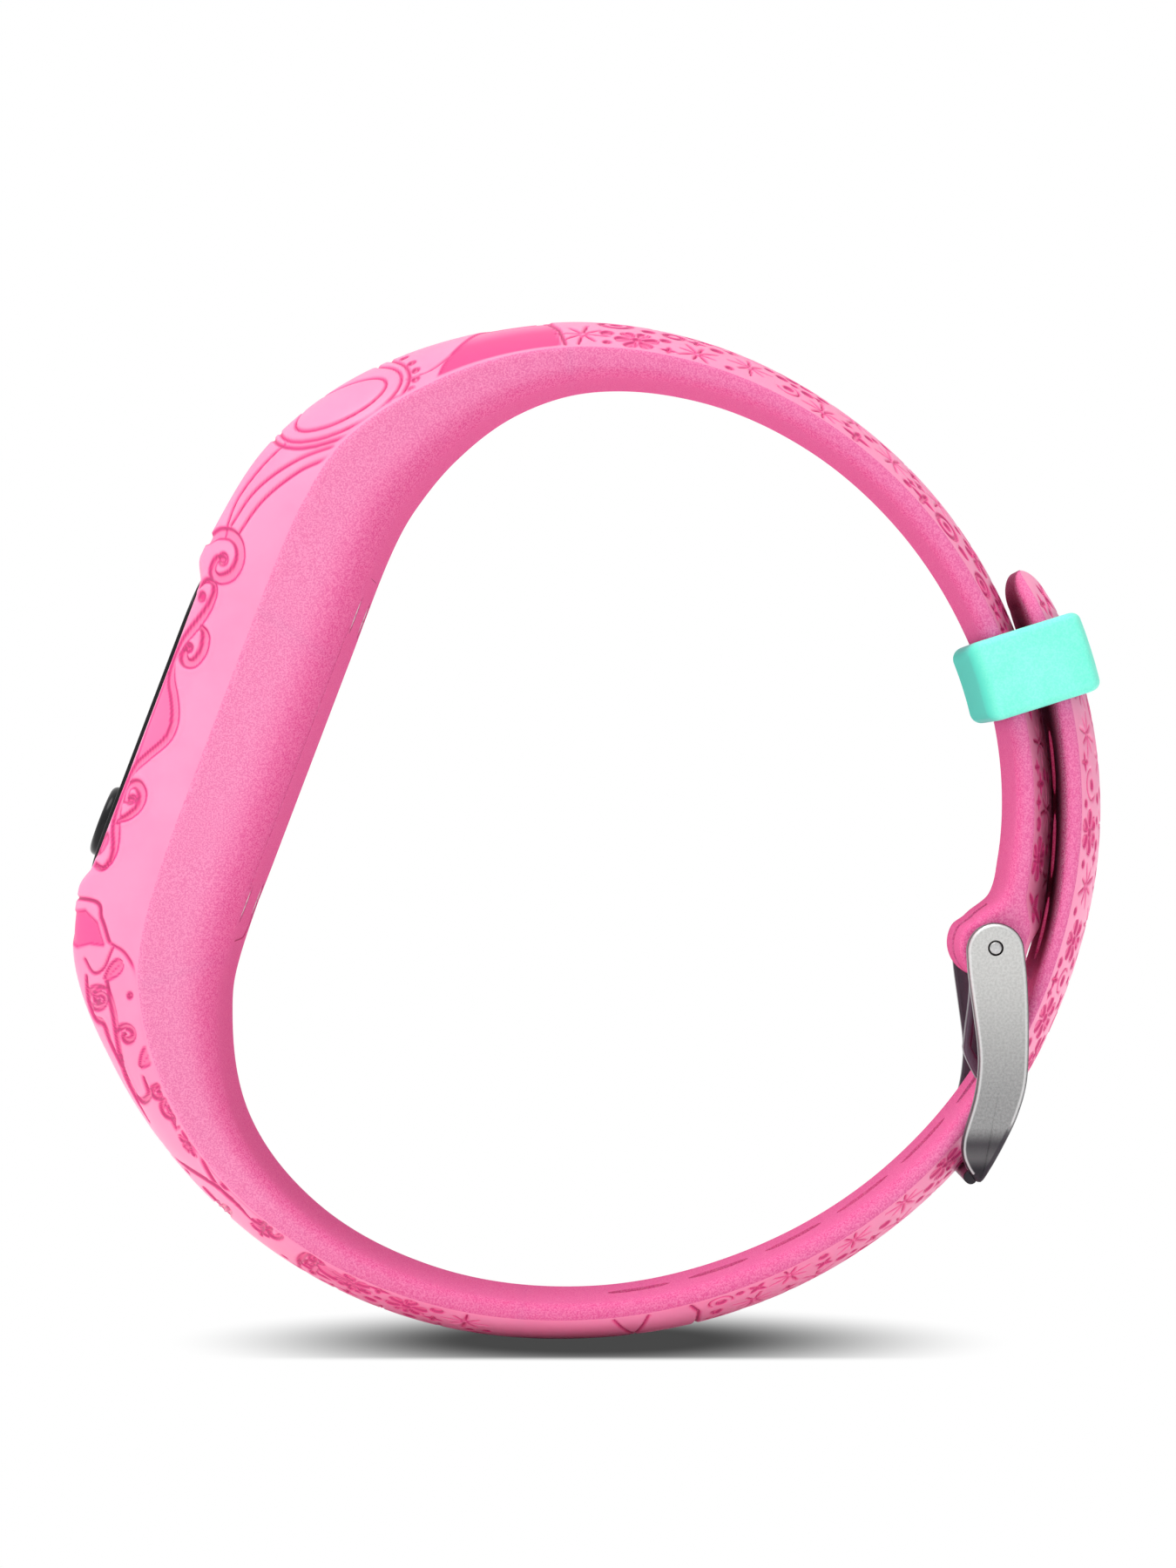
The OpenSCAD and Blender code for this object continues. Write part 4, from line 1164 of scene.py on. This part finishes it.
# what each finish is made by: darkest and lightest colour, roughness, scale and depth of the grain, coat, shine
FINISHES = {
    "pink_silicone": (pink,), "cover_pink": (pink,), "mint_silicone": (mint,), "buckle_steel": (buckle_metal,),
    "pin_steel": (metal, (180, 180, 180), (205, 205, 205), 0.3, 5000),
    "cell_steel": (metal, (190, 190, 188), (215, 215, 213), 0.24, 3000),
    "contact_brass": (metal, (205, 170, 95), (228, 194, 118), 0.28, 3000),
    "black_plastic": (solid, (14, 14, 17), (22, 22, 25), 0.2, 900, 0.000002, 0, 0.25),
    "case_plastic": (solid, (34, 34, 37), (48, 48, 51), 0.55, 3800, 0.00004),
    "board_green": (solid, (14, 74, 40), (22, 96, 54), 0.38, 1500, 0.00001, 0.3),
    "chip_black": (solid, (26, 26, 28), (38, 38, 40), 0.6, 3000),
    "display_glass": (solid, (112, 128, 116), (124, 140, 126), 0.14, 500, 0.000002),
    "flex_amber": (solid, (178, 104, 24), (204, 126, 38), 0.36, 1200),
    "tray_white": (solid, (214, 214, 209), (228, 228, 224), 0.5, 2200),
    "seal_grey": (solid, (84, 88, 92), (100, 104, 108), 0.6, 2600),
    "adhesive_white": (solid, (206, 206, 200), (222, 222, 217), 0.6, 2600),
}
made_finishes = {name: make(name, *looks) for name, (make, *looks) in FINISHES.items()}
slots = {part["node"]: part["material_slot"] for part in frame["record"]["subparts"]}
painted = [(node, slots[name]) for name, node in frame["nodes"].items()]
painted += [(piece, piece["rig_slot"]) for piece in scene.objects if piece.type == "MESH" and "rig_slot" in piece]
for item, slot in painted:
    item.data.materials.clear()
    item.data.materials.append(made_finishes[slot])


# ---- stage and light
FLOOR_Z = cad_box[0][2] - 0.02 * MM
SHADOW_Y, SHADOW_HALF_X, SHADOW_HALF_Y = 0.102, 0.0248, 0.0284
WHITE, BLACK = (1, 1, 1, 1), (0, 0, 0, 1)


def floor_piece():
    """A pale floor. The camera sees it neutral white, with one soft grey ellipse of painted shadow."""
    mesh = bpy.data.meshes.new("floor")
    mesh.from_pydata([(x, y, 0) for x, y in circle_outline(6, 96)], [], [range(96)])
    piece = bpy.data.objects.new("floor", mesh)
    piece.location = (0, 0, FLOOR_Z)
    scene.collection.objects.link(piece)
    made, m = material("studio_floor")
    ellipse = m.add("Mapping", m.place(), (0, SHADOW_Y, 0), None, (1 / SHADOW_HALF_X, 1 / SHADOW_HALF_Y, 0),
                    vector_type="POINT").outputs[0]
    reach = m.add("VectorMath", ellipse, operation="LENGTH").outputs["Value"]
    # painted shadow: an ellipse below the band, cut off towards the camera
    shadow = m.maths("MULTIPLY", m.ramp(reach, 0.27, 1, 0.935, 0), m.ramp(m.axes()["Y"], -0.0185, -0.0145))
    pale = m.mix(m.noise(40, 2, 0.5), (0.955, 0.955, 0.955, 1), (0.97, 0.97, 0.97, 1))
    m.give(Base_Color=pale, Roughness=0.9, Specular_IOR_Level=0)
    seen = m.add("Emission", m.mix(shadow, WHITE, BLACK)).outputs[0]
    from_camera = m.add("LightPath").outputs["Is Camera Ray"]
    both = m.add("MixShader", from_camera, m.shader.outputs[0], seen).outputs[0]
    m.join(m.nodes["Material Output"].inputs["Surface"], both)
    mesh.materials.append(made)


def studio():
    """White behind the object; as light, brighter from the upper left and front than from the lower right."""
    world = bpy.data.worlds.new("studio")
    scene.world = world
    world.use_nodes = True
    m = Tree(world.node_tree)
    direction = m.add("TexCoord").outputs["Generated"]
    towards = m.add("VectorMath", direction, (-0.5, -0.35, 0.79), operation="DOT_PRODUCT").outputs["Value"]
    strength = m.ramp(towards, -0.9, 0.9, 0.42)
    seen = m.maths("MAXIMUM", strength, m.add("LightPath").outputs["Is Camera Ray"])
    for socket, value in zip(m.nodes["Background"].inputs, (WHITE, seen)):
        m.join(socket, value)


floor_piece()
studio()
sun = bpy.data.lights.new("key", "SUN")
sun.energy = 1.4
sun.angle = math.radians(38)
key = bpy.data.objects.new("key", sun)
key.rotation_euler = Vector((0.3, 0.28, -0.9)).to_track_quat("-Z", "Y").to_euler()
scene.collection.objects.link(key)
